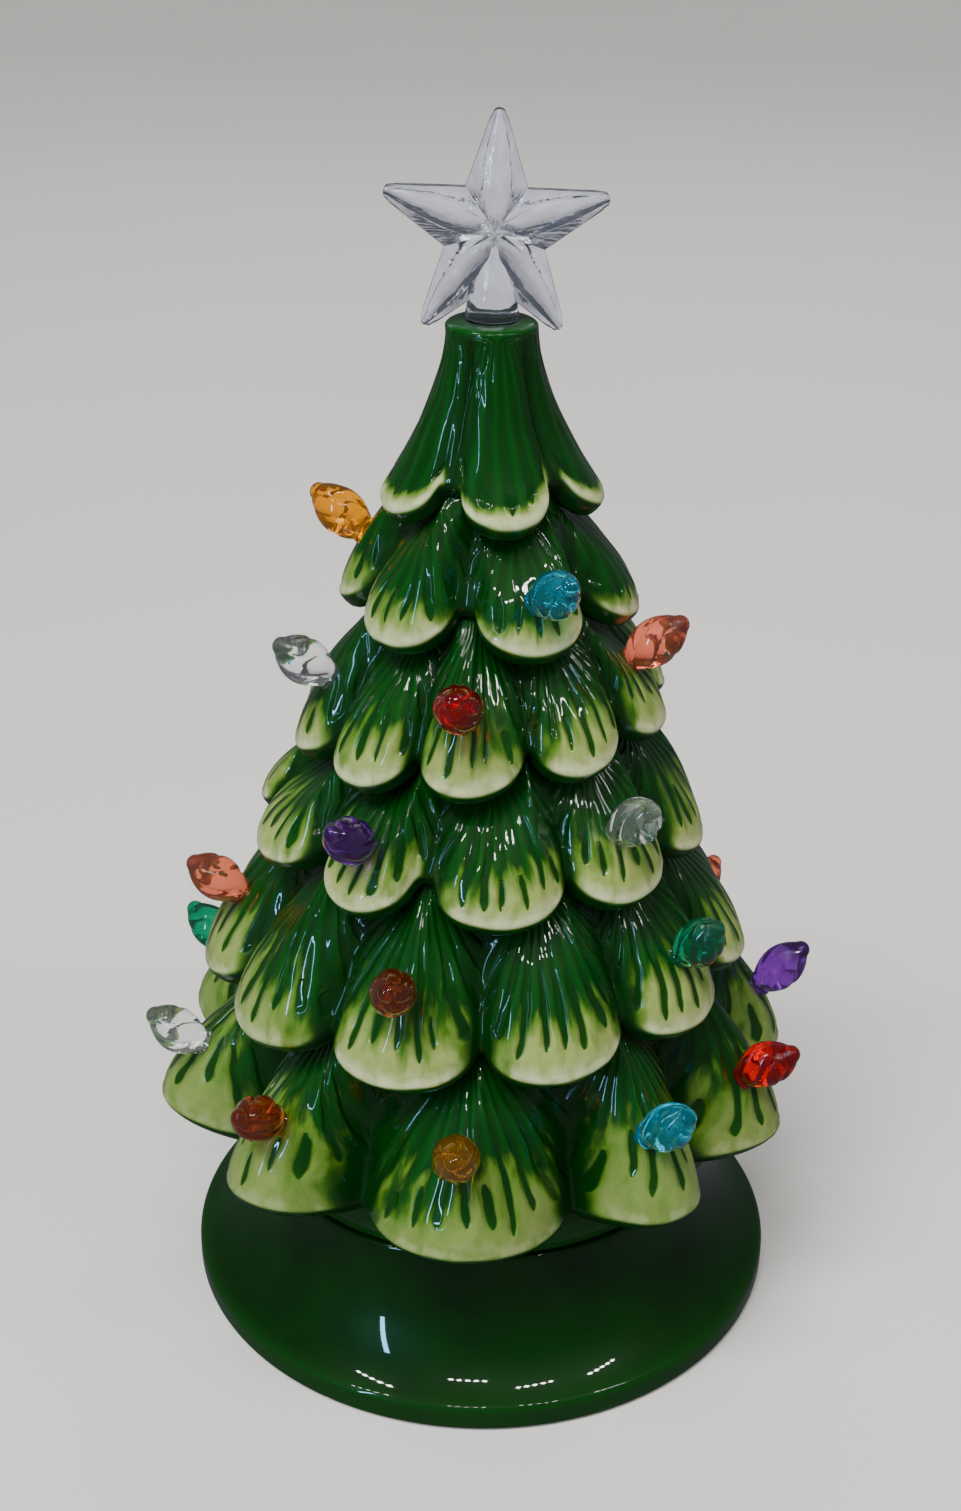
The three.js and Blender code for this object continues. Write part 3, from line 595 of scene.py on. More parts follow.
def boughRing(number, angles, side, bough, down):
    tier = tierSet[number]
    if number == 0:
        startRadius = np.full_like(angles, treeSet["topRadius"])
        startHeight = np.full_like(angles, treeSet["height"] - treeSet["topRound"])
    else:
        startRadius, startHeight = waistAt(tierSet[number - 1], angles)
    endRadius, endHeight = reachAt(tier, angles, fullness(tier, side, bough, down))
    reach = down ** 1.6 if tier.get("funnel") else 1 - (1 - down) ** 1.5
    return mix(startRadius, endRadius, reach), mix(startHeight, endHeight, down)


# Columns of a tier: their angle, bough, and place across the bough at their start and at their end
def columnsOf(tier, total):
    angles = np.zeros(total)
    boughs = np.zeros(total, int)
    starts = np.zeros(total)
    stops = np.zeros(total)
    for k, (valley, width) in enumerate(zip(tier["valleys"], widthsOf(tier))):
        first = round(valley / 360 * total)
        last = round((valley + width) / 360 * total)
        share = np.arange(last - first + 1) / (last - first)
        slots = np.arange(first, last) % total
        angles[slots] = valley + width * share[:-1]
        boughs[slots] = k
        starts[slots] = 2 * share[:-1] - 1
        stops[slots] = 2 * share[1:] - 1
    return angles, boughs, starts, stops


# Below a bough's edge: rounded end, recessed band, and the ledge back to the waist
noseSteps = [(0.3, -0.55), (0.34, -1.2), (0.08, -1.95), (-0.5, -2.7), (-1.1, -3.3), (-1.7, -3.75), (-2.5, -3.9)]
ledgeSteps = [0.25, 0.5, 0.75, 1.0]


def tierRings(number, total):
    tier = tierSet[number]
    angles, boughs, starts, stops = columnsOf(tier, total)
    rings = []
    for step in range(1, treeSet["upperRings"] + 1):
        down = 1 - (1 - step / treeSet["upperRings"]) ** 1.15
        rings.append(boughRing(number, angles, starts, boughs, down))
    upper = len(rings)
    for out, rise in noseSteps:
        rings.append((rings[upper - 1][0] + out, rings[upper - 1][1] + rise))
    nose = rings[-1]
    waist = waistAt(tier, angles, starts, boughs)
    for share in ledgeSteps:
        rings.append((mix(nose[0], waist[0], share), mix(nose[1], waist[1], share)))
    radii = np.array([ring[0] for ring in rings])
    heights = np.array([ring[1] for ring in rings])
    run = np.cumsum(np.hypot(np.diff(radii, axis=0), np.diff(heights, axis=0)), axis=0)
    run = np.vstack([np.zeros(total), run])
    above = run[upper - 1] - run
    # needles fan out from a point under the tier above
    start = (treeSet["topRadius"], treeSet["height"])
    if number:
        start = (tierSet[number - 1]["waist"], tierSet[number - 1]["tip"][1] - treeSet["lip"])
    tip = np.array(tier["tip"])
    along = np.array(start) - tip
    length = np.hypot(*along)
    fan = length + treeSet["fanRoom"]
    middles = (np.array(tier["valleys"], float) + widthsOf(tier) / 2)[boughs]

    def needleMap(radius, height, angle, aboveHere):
        lateral = radius * np.radians((angle - middles + 180) % 360 - 180)
        up = ((radius - tip[0]) * along[0] + (height - tip[1]) * along[1]) / length
        spread = np.arctan2(lateral, np.maximum(fan - up, treeSet["fanLeast"])) * fan / tier["pitch"]
        return np.stack([spread + 0.5, aboveHere], -1)

    after = np.roll(np.arange(total), -1)
    seed = np.broadcast_to(float(number * seedStep) + boughs, radii.shape)
    draws = np.random.default_rng(glazeSet["seed"] + number)
    count = len(tier["valleys"])
    reaches = draws.uniform(*glazeSet["usualReach"], count)
    tilts = draws.uniform(*glazeSet["usualTilt"], count)
    for bough, (reach, tilt) in tier["cream"].items():
        reaches[bough] = reach
        tilts[bough] = tilt
    extent = np.broadcast_to(np.stack([glazeSet["limits"][number] * reaches[boughs], tilts[boughs]], -1),
                             radii.shape + (2,))
    layers = {
        "extent": (extent, extent),
        "needle": (needleMap(radii, heights, angles, above),
                   needleMap(radii[:, after], heights[:, after], angles[after], above[:, after])),
        "bough": (np.stack([seed, np.broadcast_to(starts, radii.shape)], -1),
                  np.stack([seed, np.broadcast_to(stops, radii.shape)], -1)),
    }
    # valleys between boughs are deeper and rounder than in the frame
    downs = np.minimum(1.0, np.arange(1, len(radii) + 1) / upper)[:, None]
    radii = radii - treeSet["valleySink"] * np.abs(starts) ** 5 * np.sin(0.85 * math.pi * downs ** 0.8)
    rounding = np.array([1, 2, 3, 2, 1]) / 9
    shifts = range(-2, 3)
    radii = sum(w * np.roll(radii, k, axis=1) for w, k in zip(rounding, shifts))
    heights = sum(w * np.roll(heights, k, axis=1) for w, k in zip(rounding, shifts))
    # hand-made unevenness
    a = np.radians(angles)
    uneven = np.sin(7 * a + 0.31 * heights) + np.sin(17 * a - 0.22 * heights + number) + np.sin(31 * a + 0.5 * heights)
    radii = radii - treeSet["unevenness"] * (1 + uneven / 3)
    return angles, radii, heights, layers


def ringPoints(angles, radii, heights):
    a = np.radians(np.broadcast_to(angles, radii.shape))
    return np.stack([radii * np.sin(a), -radii * np.cos(a), heights + treeFoot], -1) * mm


def treePiece(name, numbers, head, tail, total):
    rows = []
    starts, stops = ({"needle": [], "bough": [], "extent": []} for side in range(2))
    angles = columnsOf(tierSet[numbers[0]], total)[0]

    def plainRings(outline, above):
        for radius, height in outline:
            radii = np.full((1, total), float(radius))
            rows.append(ringPoints(angles, radii, np.full_like(radii, float(height))))
            for layer, pair in (("needle", (0, above)), ("bough", (0, 0)), ("extent", (1, 1))):
                for ends in (starts, stops):
                    ends[layer].append(np.full((1, total, 2), pair, float))

    plainRings(head, treeSet["crownAbove"])
    for number in numbers:
        angles, radii, heights, layers = tierRings(number, total)
        rows.append(ringPoints(angles, radii, heights))
        for layer, (start, stop) in layers.items():
            starts[layer].append(start)
            stops[layer].append(stop)
    plainRings(tail, treeSet["footAbove"])
    layers = {layer: (np.concatenate(starts[layer]), np.concatenate(stops[layer])) for layer in starts}
    return gridMesh(name, np.concatenate(rows), layers)


print("stage: tree")
top = treeSet["height"]
bore = treeSet["boreRadius"]
hollow = [(bore, top - 0.5), (bore, top - treeSet["boreDepth"])]
for tier in tierSet[:-1]:
    hollow.append((tier["waist"] - treeSet["wall"], tier["tip"][1] - treeSet["lip"]))
foot = treeSet["footRadius"]
mouth = foot - treeSet["wall"] - treeSet["mouthGap"]
hollow += [(mouth, treeSet["mouthHeight"]), (mouth, 0.4), (mouth + 0.4, 0.0)]
edgeWide, edgeHigh = treeSet["topEdge"], treeSet["topRound"]
crownHead = [(bore + 0.5, top)]
for turn in (k * math.pi / 12 for k in range(6)):
    crownHead.append((treeSet["topRadius"] - edgeWide + edgeWide * math.sin(turn),
                      top - edgeHigh + edgeHigh * math.cos(turn)))
skirtTail = [(foot, 6.0), (foot, 3.0), (foot, 0.6), (foot - 0.6, 0.0)] + list(reversed(hollow[4:]))
crown = treePiece("treeCrown", [0, 1, 2], crownHead, list(reversed(hollow[:5])), treeSet["crownColumns"])
skirt = treePiece("treeSkirt", [3, 4, 5], [], skirtTail, treeSet["skirtColumns"])
for piece in (crown, skirt):
    enter(piece, "bough", "tree_glaze", "tree", "tree_shell")


# Geometry node trees
class Geo:
    def __init__(self, name):
        self.tree = bpy.data.node_groups.new(name, "GeometryNodeTree")
        self.tree.interface.new_socket("Geometry", in_out="INPUT", socket_type="NodeSocketGeometry")
        self.tree.interface.new_socket("Geometry", in_out="OUTPUT", socket_type="NodeSocketGeometry")
        self.source = self.tree.nodes.new("NodeGroupInput")
        self.sink = self.tree.nodes.new("NodeGroupOutput")

    def input(self, name, kind):
        self.tree.interface.new_socket(name, in_out="INPUT", socket_type="NodeSocket" + kind)
        return self.source.outputs[name]

    def add(self, kind, values, **settings):
        node = self.tree.nodes.new(kind)
        for key, value in settings.items():
            setattr(node, key, value)
        for key, value in values.items():
            if isinstance(value, bpy.types.NodeSocket):
                self.tree.links.new(value, node.inputs[key])
            else:
                node.inputs[key].default_value = value
        return node

    # Ends in Realize Instances and Set Material
    def finish(self, geometry, material):
        real = self.add("GeometryNodeRealizeInstances", {"Geometry": geometry})
        last = self.add("GeometryNodeSetMaterial", {"Geometry": real.outputs[0], "Material": material})
        self.tree.links.new(last.outputs[0], self.sink.inputs[0])
        return self.tree

    def run(self, name, carrier, values):
        modifier = carrier.modifiers.new(self.tree.name, "NODES")
        modifier.node_group = self.tree
        for item in self.tree.interface.items_tree:
            if item.in_out == "INPUT" and item.name in values:
                modifier[item.identifier] = values[item.name]
        result = evaluated(carrier, name)
        discard(carrier)
        return result


# Twist bulb in millimetres along its axis from the flat under its collar
bulbSet = {"pegRadius": 1.6, "pegLength": 9.0, "collarRadius": 2.6, "collarHeight": 1.1, "belly": 4.2,
           "knob": 1.75, "knobAside": 1.0, "length": 13.4, "lobes": 5, "turns": 0.3, "crease": 0.16,
           "creaseSharp": 2.8, "columns": 96, "rings": 40}


# Twist bulb: a peg, a collar, swirling lobes with creases between them, and a knob beside the tip
def bulbBody():
    b = bulbSet
    outline = [(b["pegRadius"] * 0.6, -b["pegLength"]), (b["pegRadius"], -b["pegLength"] + 0.5), (b["pegRadius"], 0.3),
               (b["collarRadius"] - 0.2, 0.3), (b["collarRadius"], 0.5), (b["collarRadius"], b["collarHeight"] - 0.25),
               (b["collarRadius"] - 0.25, b["collarHeight"])]
    plain = len(outline)
    reach = b["length"] - 1.3 - b["collarHeight"]
    for k in range(1, b["rings"] + 1):
        share = k / b["rings"]
        radius = b["belly"] * math.sin(math.pi * (0.14 + 0.78 * share ** 1.05)) ** 0.7
        outline.append((radius, b["collarHeight"] + reach * share))
    a = np.linspace(0, 2 * math.pi, b["columns"], endpoint=False)
    vertices = [(0, 0, -b["pegLength"])]
    for k, (radius, height) in enumerate(outline):
        share = max(0.0, (height - b["collarHeight"]) / reach) if k >= plain else 0.0
        twist = a + 2 * math.pi * b["turns"] * share
        depth = b["crease"] * math.sin(math.pi * min(1, share * 0.92 + 0.02)) ** 0.5 if k >= plain else 0.0
        fold = 1 - depth * (1 - np.abs(np.sin(b["lobes"] * twist / 2))) ** b["creaseSharp"]
        lean = b["knobAside"] * share ** 2
        vertices += list(zip(radius * fold * np.cos(a) + lean, radius * fold * np.sin(a), np.full_like(a, height)))
    vertices.append((b["knobAside"], 0, b["length"] - 1.1))
    columns = b["columns"]
    last = len(vertices) - 1
    faces = []
    for c in range(columns):
        n = (c + 1) % columns
        faces.append((0, 1 + n, 1 + c))
        for r in range(len(outline) - 1):
            low = 1 + r * columns
            faces.append((low + c, low + n, low + columns + n, low + columns + c))
        faces.append((last, last - columns + c, last - columns + n))
    body = meshFrom("bulbBody", np.array(vertices) * mm, faces)
    outward(body)
    knob = turned("bulbKnob", [(b["knob"] * math.sin(math.pi * k / 14), -b["knob"] * math.cos(math.pi * k / 14))
                               for k in range(15)], 28, (b["knobAside"], 0, b["length"] - b["knob"]))
    return creased(united("bulbShape", body, knob), 38)


# Seat and direction of a bulb, from its solid in the frame: the peg's end lies nearer the tree's axis
def bulbAxis(node):
    points = np.array([v.co[:] for v in bpy.data.objects[node].data.vertices])
    spread = np.linalg.norm(points[:, None] - points[None], axis=2)
    a, b = np.unravel_index(spread.argmax(), spread.shape)
    ends = sorted((points[a], points[b]), key=lambda p: math.hypot(p[0], p[1]))
    out = (ends[1] - ends[0]) / np.linalg.norm(ends[1] - ends[0])
    return ends[0] + out * bulbSet["pegLength"] * mm, out


print("stage: bulbs")
slotOf = {row["node"]: row["material_slot"] for row in frame["record"]["subparts"]}
bulbShape = bulbBody()
scatter = Geo("bulbScatter")
shapeInput = scatter.input("Bulb", "Object")
lookInput = scatter.input("Look", "Material")
shapeNode = scatter.add("GeometryNodeObjectInfo", {"Object": shapeInput, "As Instance": True})
turnNode = scatter.add("GeometryNodeInputNamedAttribute", {"Name": "turn"}, data_type="FLOAT_VECTOR")
placed = scatter.add("GeometryNodeInstanceOnPoints", {
    "Points": scatter.source.outputs["Geometry"], "Instance": shapeNode.outputs["Geometry"],
    "Rotation": turnNode.outputs[0],
})
scatter.finish(placed.outputs[0], lookInput)
goldenTurn = 2.399
for tint in bulbTints:
    nodes = sorted(node for node, slot in slotOf.items() if slot == "bulb_" + tint)
    seats = [bulbAxis(node) for node in nodes]
    points = meshFrom("seats", [place for place, out in seats], [])
    turns = points.data.attributes.new("turn", "FLOAT_VECTOR", "POINT")
    for k, (place, out) in enumerate(seats):
        aim = Vector(out).to_track_quat("Z", "Y").to_matrix()
        spin = Matrix.Rotation(int(nodes[k].split("_")[1]) * goldenTurn, 3, "Z")
        turns.data[k].vector = (aim @ spin).to_euler()
    bulbs = scatter.run(tint + "Bulbs", points, {"Bulb": bulbShape, "Look": looks[tint]})
    enter(bulbs, tint, "bulb_" + tint, "tree", *nodes)
discard(bulbShape)


# Star: each arm has a lens-shaped rib down its middle and sloping facets beside it
def starShape():
    s = starSet
    half = s["thickness"] / 2
    edge = s["edge"] / 2
    turnStep = math.pi / 5
    notchAlong = s["notch"] * math.cos(turnStep)
    notchAside = s["notch"] * math.sin(turnStep)
    work = bmesh.new()

    def armWidth(t):
        if t <= notchAlong:
            return t * math.tan(turnStep)
        share = (t - notchAlong) / (s["radius"] - notchAlong)
        width = mix(notchAside, s["tipWidth"], share)
        left = s["radius"] - t
        if left < s["tipWidth"]:
            width = min(width, math.sqrt(max(0.0, s["tipWidth"] ** 2 - (s["tipWidth"] - left) ** 2)) + 0.12)
        return width

    def section(t):
        share = t / s["radius"]
        width = armWidth(t)
        rib = min(0.2 + s["ribWidth"] * math.sin(math.pi * min(0.97, share ** 0.7)) ** 0.8, 0.6 * width)
        crest = mix(half, edge * 1.25, share ** 1.25)
        sink = min(0.45, (crest - edge) * 0.5)
        slope = min(crest - sink - 0.3, mix(half * 0.62, edge, share ** 0.8))
        bump = s["bump"] * math.exp(-(t / 1.1) ** 2)
        return [(width, min(edge, crest)), ((width + rib) * 0.5, max(edge, (slope + edge) * 0.5)),
                (rib * 1.12, max(edge, slope)), (rib, crest - sink), (rib * 0.66, crest - sink * 0.4),
                (rib * 0.33, crest - sink * 0.1), (0.0, crest + bump)]

    inner = [notchAlong * k / 6 for k in range(1, 7)]
    outer = [mix(notchAlong, s["radius"], k / 14) for k in range(1, 14)]
    stops = sorted({*inner, *outer, *(s["radius"] - s["tipWidth"] * v for v in (0.65, 0.3, 0.08, 0))})
    for sign in (-1, 1):
        for arm in range(5):
            angle = 2 * turnStep * arm
            along = Vector((math.sin(angle), 0, math.cos(angle)))
            aside = Vector((math.cos(angle), 0, -math.sin(angle)))
            grid = []
            for t in stops:
                rows = section(t)
                full = [(-q, h) for q, h in rows] + [(q, h) for q, h in reversed(rows[:-1])]
                grid.append([work.verts.new(along * t + aside * q + Vector((0, sign * h, 0))) for q, h in full])
            centre = work.verts.new((0, sign * (half + s["bump"]), 0))
            for a, b in zip(grid[0], grid[0][1:]):
                work.faces.new((centre, a, b))
            for low, high in zip(grid, grid[1:]):
                for k in range(len(low) - 1):
                    work.faces.new((low[k], high[k], high[k + 1], low[k + 1]))
    bmesh.ops.remove_doubles(work, verts=work.verts, dist=0.02)
    # the side wall joins the two faces
    rim = [edgeItem for edgeItem in work.edges if edgeItem.is_boundary]
    bmesh.ops.bridge_loops(work, edges=rim)
    bmesh.ops.recalc_face_normals(work, faces=work.faces)
    bmesh.ops.scale(work, vec=(mm, mm, mm), verts=work.verts)
    mesh = bpy.data.meshes.new("starPlate")
    work.to_mesh(mesh)
    work.free()
    return link(bpy.data.objects.new("starPlate", mesh))


print("stage: star")
s = starSet
plate = starShape()
plate.data.transform(Matrix.Translation((0, 0, s["height"] * mm)))
stem = turned("starStem", [
    (0, 0.3 - s["plugLength"]), (s["plugRadius"] - 0.4, 0.3 - s["plugLength"]),
    (s["plugRadius"], 0.7 - s["plugLength"]), (s["plugRadius"], 0.3), (s["stemFoot"], 0.3),
    (s["stemFoot"] + 0.15, 0.45), (s["stemFoot"] + 0.15, 0.9),
    (mix(s["stemFoot"], s["stemTop"], 0.5), s["height"] * 0.32),
    (s["stemTop"], s["height"] * 0.62), (s["stemTop"] * 0.7, s["height"] * 0.85), (0, s["height"] * 0.97),
], 64)
star = united("clearStar", plate, stem)
star.data.transform(Matrix.Translation((0, 0, (treeFoot + treeSet["height"]) * mm))
                    @ Matrix.Rotation(math.radians(s["lean"]), 4, "Y"))
creased(smoothed(star), 24)
enter(star, "star", "star_plastic", "star", "star_topper")

# Base in millimetres
print("stage: base")
baseSet = {"rim": 57.5, "round": 1.2, "neck": 44.0, "seat": 28.5, "cove": 24.0, "wall": 4.2,
           "deck": 5.0, "footWidth": 5.5, "collarHeight": 4.0, "collarWall": 5.0, "hole": 14.2, "collarGap": 1.0,
           "sides": 256, "crown": 1.7, "crownTurn": 61.5, "neckRise": 2}


def coveRadius(height, offset):
    b = baseSet
    rise = max(0.0, min(b["seat"] - b["neckRise"] - height, b["cove"] + offset))
    return b["neck"] + b["cove"] - math.sqrt((b["cove"] + offset) ** 2 - rise ** 2)


def basePiece():
    b = baseSet
    rim = b["rim"]
    outline = [(rim - b["round"], 0)]
    for k in range(1, 9):
        angle = math.pi / 2 * k / 8
        outline.append((rim - b["round"] + b["round"] * math.sin(angle), b["round"] - b["round"] * math.cos(angle)))
    crown = b["crown"]
    turnEnd = math.radians(b["crownTurn"])
    coveTop = b["seat"] - b["neckRise"]
    coveAside = b["neck"] + b["cove"] - rim + crown * (1 - math.cos(turnEnd))
    coveStart = coveTop - math.sqrt(b["cove"] ** 2 - coveAside ** 2)
    for k in range(13):
        angle = turnEnd * k / 12
        rise = crown * (math.sin(angle) - math.sin(turnEnd))
        outline.append((rim - crown + crown * math.cos(angle), coveStart + rise))
    for k in range(1, 41):
        height = mix(coveStart, coveTop, (k / 40) ** 1.3)
        outline.append((coveRadius(height, 0), height))
    collar = treeSet["footRadius"] - treeSet["wall"] - b["collarGap"]
    inside = collar - b["collarWall"]
    collarTop = b["seat"] + b["collarHeight"]
    outline += [(b["neck"], b["seat"] - 0.6), (b["neck"] - 0.2, b["seat"] - 0.15), (b["neck"] - 0.6, b["seat"]),
                (collar + 0.3, b["seat"]), (collar, b["seat"] + 0.3), (collar, collarTop - 0.8),
                (collar - 0.8, collarTop), (inside + 0.5, collarTop), (inside, collarTop - 0.5), (inside, b["seat"]),
                (b["hole"] + 0.3, b["seat"]), (b["hole"], b["seat"] - 0.3), (b["hole"], b["seat"] - b["deck"])]
    footInner = rim - b["round"] - b["footWidth"]
    for k in range(21):
        height = mix(b["seat"] - b["deck"], 3.4, k / 20)
        outline.append((min(footInner - 0.5, coveRadius(height, b["wall"])), height))
    outline.append((footInner, 0))
    return creased(turned("glazedBase", outline, b["sides"]), 50)


enter(basePiece(), "base", "base_glaze", "base", "base_shell")

# Light unit
print("stage: light unit")
u = unitSet


def middleOf(node):
    low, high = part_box(node)
    return [(a + b) / 2 / mm for a, b in zip(low, high)]


# Rounded upper edge of a turned piece, and both its edges
def upperEdge(radius, high, edge, steps=4):
    turns = [math.pi / 2 * k / steps for k in range(steps + 1)]
    return [(radius - edge + edge * math.cos(turn), high - edge + edge * math.sin(turn)) for turn in turns]


def rounded(radius, low, high, edge, steps=4):
    upper = upperEdge(radius, high, edge, steps)
    return [(r, low + high - z) for r, z in reversed(upper)] + upper


# Housing: a cup with a boss, a bay for the cells with a door for the wires at its middle and its end
def housing():
    (_, _, low), (radius, _, bossTop) = boxOf("light_housing")
    outline = [(radius - u["cupWall"], low), (radius - 0.3, low), (radius, low + 0.3)]
    outline += upperEdge(radius, u["topHeight"], 1.0)
    outline += [(u["boss"] + 0.4, u["topHeight"]), (u["boss"], u["topHeight"] + 0.4)]
    outline += upperEdge(u["boss"], bossTop, 0.3)
    outline += [(u["wireHole"] + 0.3, bossTop), (u["wireHole"], bossTop - 0.3), (u["wireHole"], u["underTop"]),
                (radius - u["cupWall"], u["underTop"])]
    cup = turned("housingCup", outline, u["sides"])
    halfWide = u["bayWidth"] / 2
    halfLong = u["bayLength"] / 2
    wall = u["bayWall"]
    floorHere = boxOf("switch_body")[0][2]
    ceiling = u["underTop"] + 0.5
    walls = []
    for sign in (-1, 1):
        xs = sorted((sign * halfWide, sign * (halfWide + wall)))
        ys = sorted((sign * halfLong, sign * (halfLong + wall)))
        walls.append(block("bayWall", (xs[0], -halfLong - wall, floorHere), (xs[1], halfLong + wall, ceiling)))
        walls.append(block("bayWall", (-halfWide - wall, ys[0], floorHere), (halfWide + wall, ys[1], ceiling)))
    bay = united("bay", walls[0], *walls[1:])
    body = united("housingBody", cup, bay)
    doorLow, doorHigh = u["doorHeight"] - 1, u["doorHeight"] + 2.4
    doors = [block("wireDoor", (halfWide - 2 * wall, y - 2, doorLow), (halfWide + 3 * wall, y + 2, doorHigh))
             for y in (0, halfLong - 4)]
    return creased(combined("lightHousing", "DIFFERENCE", body, *doors), 30)


enter(housing(), "housing", "housing_plastic", "base", "light_housing")
for name, node, look, slot, body in (
        ("closingPlate", "closing_plate", "housing", "housing_plastic", "base"),
        ("batteryDoor", "battery_cover", "housing", "housing_plastic", "battery_cover"),
        ("switchCase", "switch_body", "housing", "housing_plastic", "base"),
        ("switchKnob", "switch_slider", "board", "board_white", "switch_slider"),
        ("positiveContact", "positive_contact", "metal", "contact_metal", "base"),
        ("negativeContact", "negative_contact", "metal", "contact_metal", "base"),
        ("bridgeContactOne", "bridge_contact_1", "metal", "contact_metal", "base"),
        ("bridgeContactTwo", "bridge_contact_2", "metal", "contact_metal", "base")):
    width = u["metalEdge"] if look == "metal" else u["edge"]
    obj = finished(name, node, "BEVEL", width=width * mm, segments=2, limit_method="ANGLE",
                   angle_limit=math.radians(40))
    enter(creased(obj, 30), look, slot, body, node)


# Cell: sleeve edges rounded over, a groove under the cap, and a nub; the map holds the distance from the flat end
def cellPiece(name, node, way):
    outline = [(0, 0.15), (u["cellRadius"] - 1.6, 0.15), (u["cellRadius"] - 1.3, 0.0)]
    shoulder = u["cellLength"] - u["nubLength"]
    outline += rounded(u["cellRadius"], 0.0, shoulder, 0.5)
    outline += [(u["nubRadius"] + 1.2, shoulder), (u["nubRadius"] + 1.0, shoulder - 0.25)]
    outline += [(u["nubRadius"], shoulder - 0.25)] + upperEdge(u["nubRadius"], u["cellLength"], 0.25)
    outline.append((0, u["cellLength"]))
    cell = turned(name, outline, 64)
    lengths = np.array([v.co.z / mm for v in cell.data.vertices])
    corner = np.array([loop.vertex_index for loop in cell.data.loops])
    layer = cell.data.uv_layers.new(name="length")
    layer.data.foreach_set("uv", np.stack([lengths[corner], np.zeros(len(corner))], -1).astype(np.float32).ravel())
    x, _, z = middleOf(node)
    low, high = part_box(node)
    turn = Matrix.Rotation(-way * math.pi / 2, 4, "X")
    place = Matrix.Translation((x * mm, low[1] if way > 0 else high[1], z * mm))
    cell.data.transform(place @ turn)
    creased(cell, 35)
    enter(cell, "cell", "cell_sleeve", "base", node)


wayOf = {"A": 1, "B": -1, "C": 1}
for k, letter in enumerate("ABC", 1):
    cellPiece("cell" + letter, f"battery_{k}", wayOf[letter])

# Contact springs: a spiral swept by a round wire
springTree = Geo("contactSpring")
springInput = {name: springTree.input(name, "Float") for name in ("Turns", "Wide", "Narrow", "Length", "Wire")}
spiral = springTree.add("GeometryNodeCurveSpiral", {
    "Resolution": 40, "Rotations": springInput["Turns"], "Start Radius": springInput["Wide"],
    "End Radius": springInput["Narrow"], "Height": springInput["Length"], "Reverse": False})
wireRing = springTree.add("GeometryNodeCurvePrimitiveCircle", {"Resolution": 12, "Radius": springInput["Wire"]})
swept = springTree.add("GeometryNodeCurveToMesh", {"Curve": spiral.outputs[0], "Profile Curve": wireRing.outputs[0],
                                                   "Fill Caps": True})
soft = springTree.add("GeometryNodeSetShadeSmooth", {"Geometry": swept.outputs[0]})
springTree.finish(soft.outputs[0], springTree.input("Look", "Material"))
for k, letter in enumerate("ABC", 1):
    spring = springTree.run("spring" + letter, meshFrom("springSeat", [(0, 0, 0)], []), {
        "Turns": u["springTurns"], "Wide": u["springWide"] * mm, "Narrow": u["springNarrow"] * mm,
        "Length": (u["springLength"] - 2 * u["springWire"]) * mm, "Wire": u["springWire"] * mm, "Look": looks["metal"]})
    way = wayOf[letter]
    back = (u["springRoot"] - u["springWire"]) * mm
    root = Vector(((k - 2) * u["cellPitch"] * mm, -way * back, u["cellHeight"] * mm))
    spring.data.transform(Matrix.Translation(root) @ Matrix.Rotation(-way * math.pi / 2, 4, "X"))
    outward(spring)
    enter(spring, "metal", "contact_metal", "base", f"contact_spring_{k}")

# Board, lamps and dome
(_, _, boardLow), (boardRadius, _, boardHigh) = boxOf("lamp_board")
outline = [(0, boardLow)] + rounded(boardRadius, boardLow, boardHigh, 0.12, 2) + [(0, boardHigh)]
enter(creased(turned("lampBoard", outline, u["sides"]), 30), "lacquer", "board_white", "base", "lamp_board")
for k, letter in enumerate("ABC", 1):
    node = f"lamp_{k}"
    x, y, _ = middleOf(node)
    low = boxOf(node)[0][2]
    radius = u["lampRadius"]
    outline = [(0, low), (radius + 0.3, low), (radius + 0.4, low + 0.1), (radius + 0.4, low + 0.9),
               (radius + 0.3, low + 1.0), (radius, low + 1.0)]
    outline += [(radius * math.cos(t), low + u["lampHeight"] - radius + radius * math.sin(t))
                for t in np.linspace(0, math.pi / 2, 12)[:-1]]
    lamp = turned("lamp" + letter, outline + [(0, low + u["lampHeight"])], 48, (x, y, 0))
    enter(creased(lamp, 40), "epoxy", "lamp_epoxy", "base", node)


# Dome: one outline that meets the axis twice, once on each side of its wall
def domeMesh():
    (_, _, foot), (outer, _, _) = boxOf("light_dome")
    inner = outer - u["domeWall"]
    turns = np.linspace(0, math.pi / 2, 25)[:-1]

    def arc(radius):
        return [(radius * math.cos(t), u["domeShoulder"] + radius * u["domeFlat"] * math.sin(t)) for t in turns]

    outline = [(0, u["domeShoulder"] + outer * u["domeFlat"])] + arc(outer)[::-1]
    outline += [(outer, foot + 0.2), (outer - 0.2, foot), (inner + 0.2, foot), (inner, foot + 0.2)]
    outline += arc(inner) + [(0, u["domeShoulder"] + inner * u["domeFlat"])]
    return creased(turned("lightDome", outline, u["sides"]), 40)


enter(domeMesh(), "frost", "dome_frost", "base", "light_dome")

# Wires: the frame's own routes, rounded
for name, node, look, slot in (
        ("wireOne", "wire_1", "redWire", "wire_red"),
        ("wireTwo", "wire_2", "blackWire", "wire_black"),
        ("wireThree", "wire_3", "redWire", "wire_red")):
    wire = finished(name, node, "SUBSURF", levels=2, render_levels=2)
    enter(smoothed(wire), look, slot, "base", node)

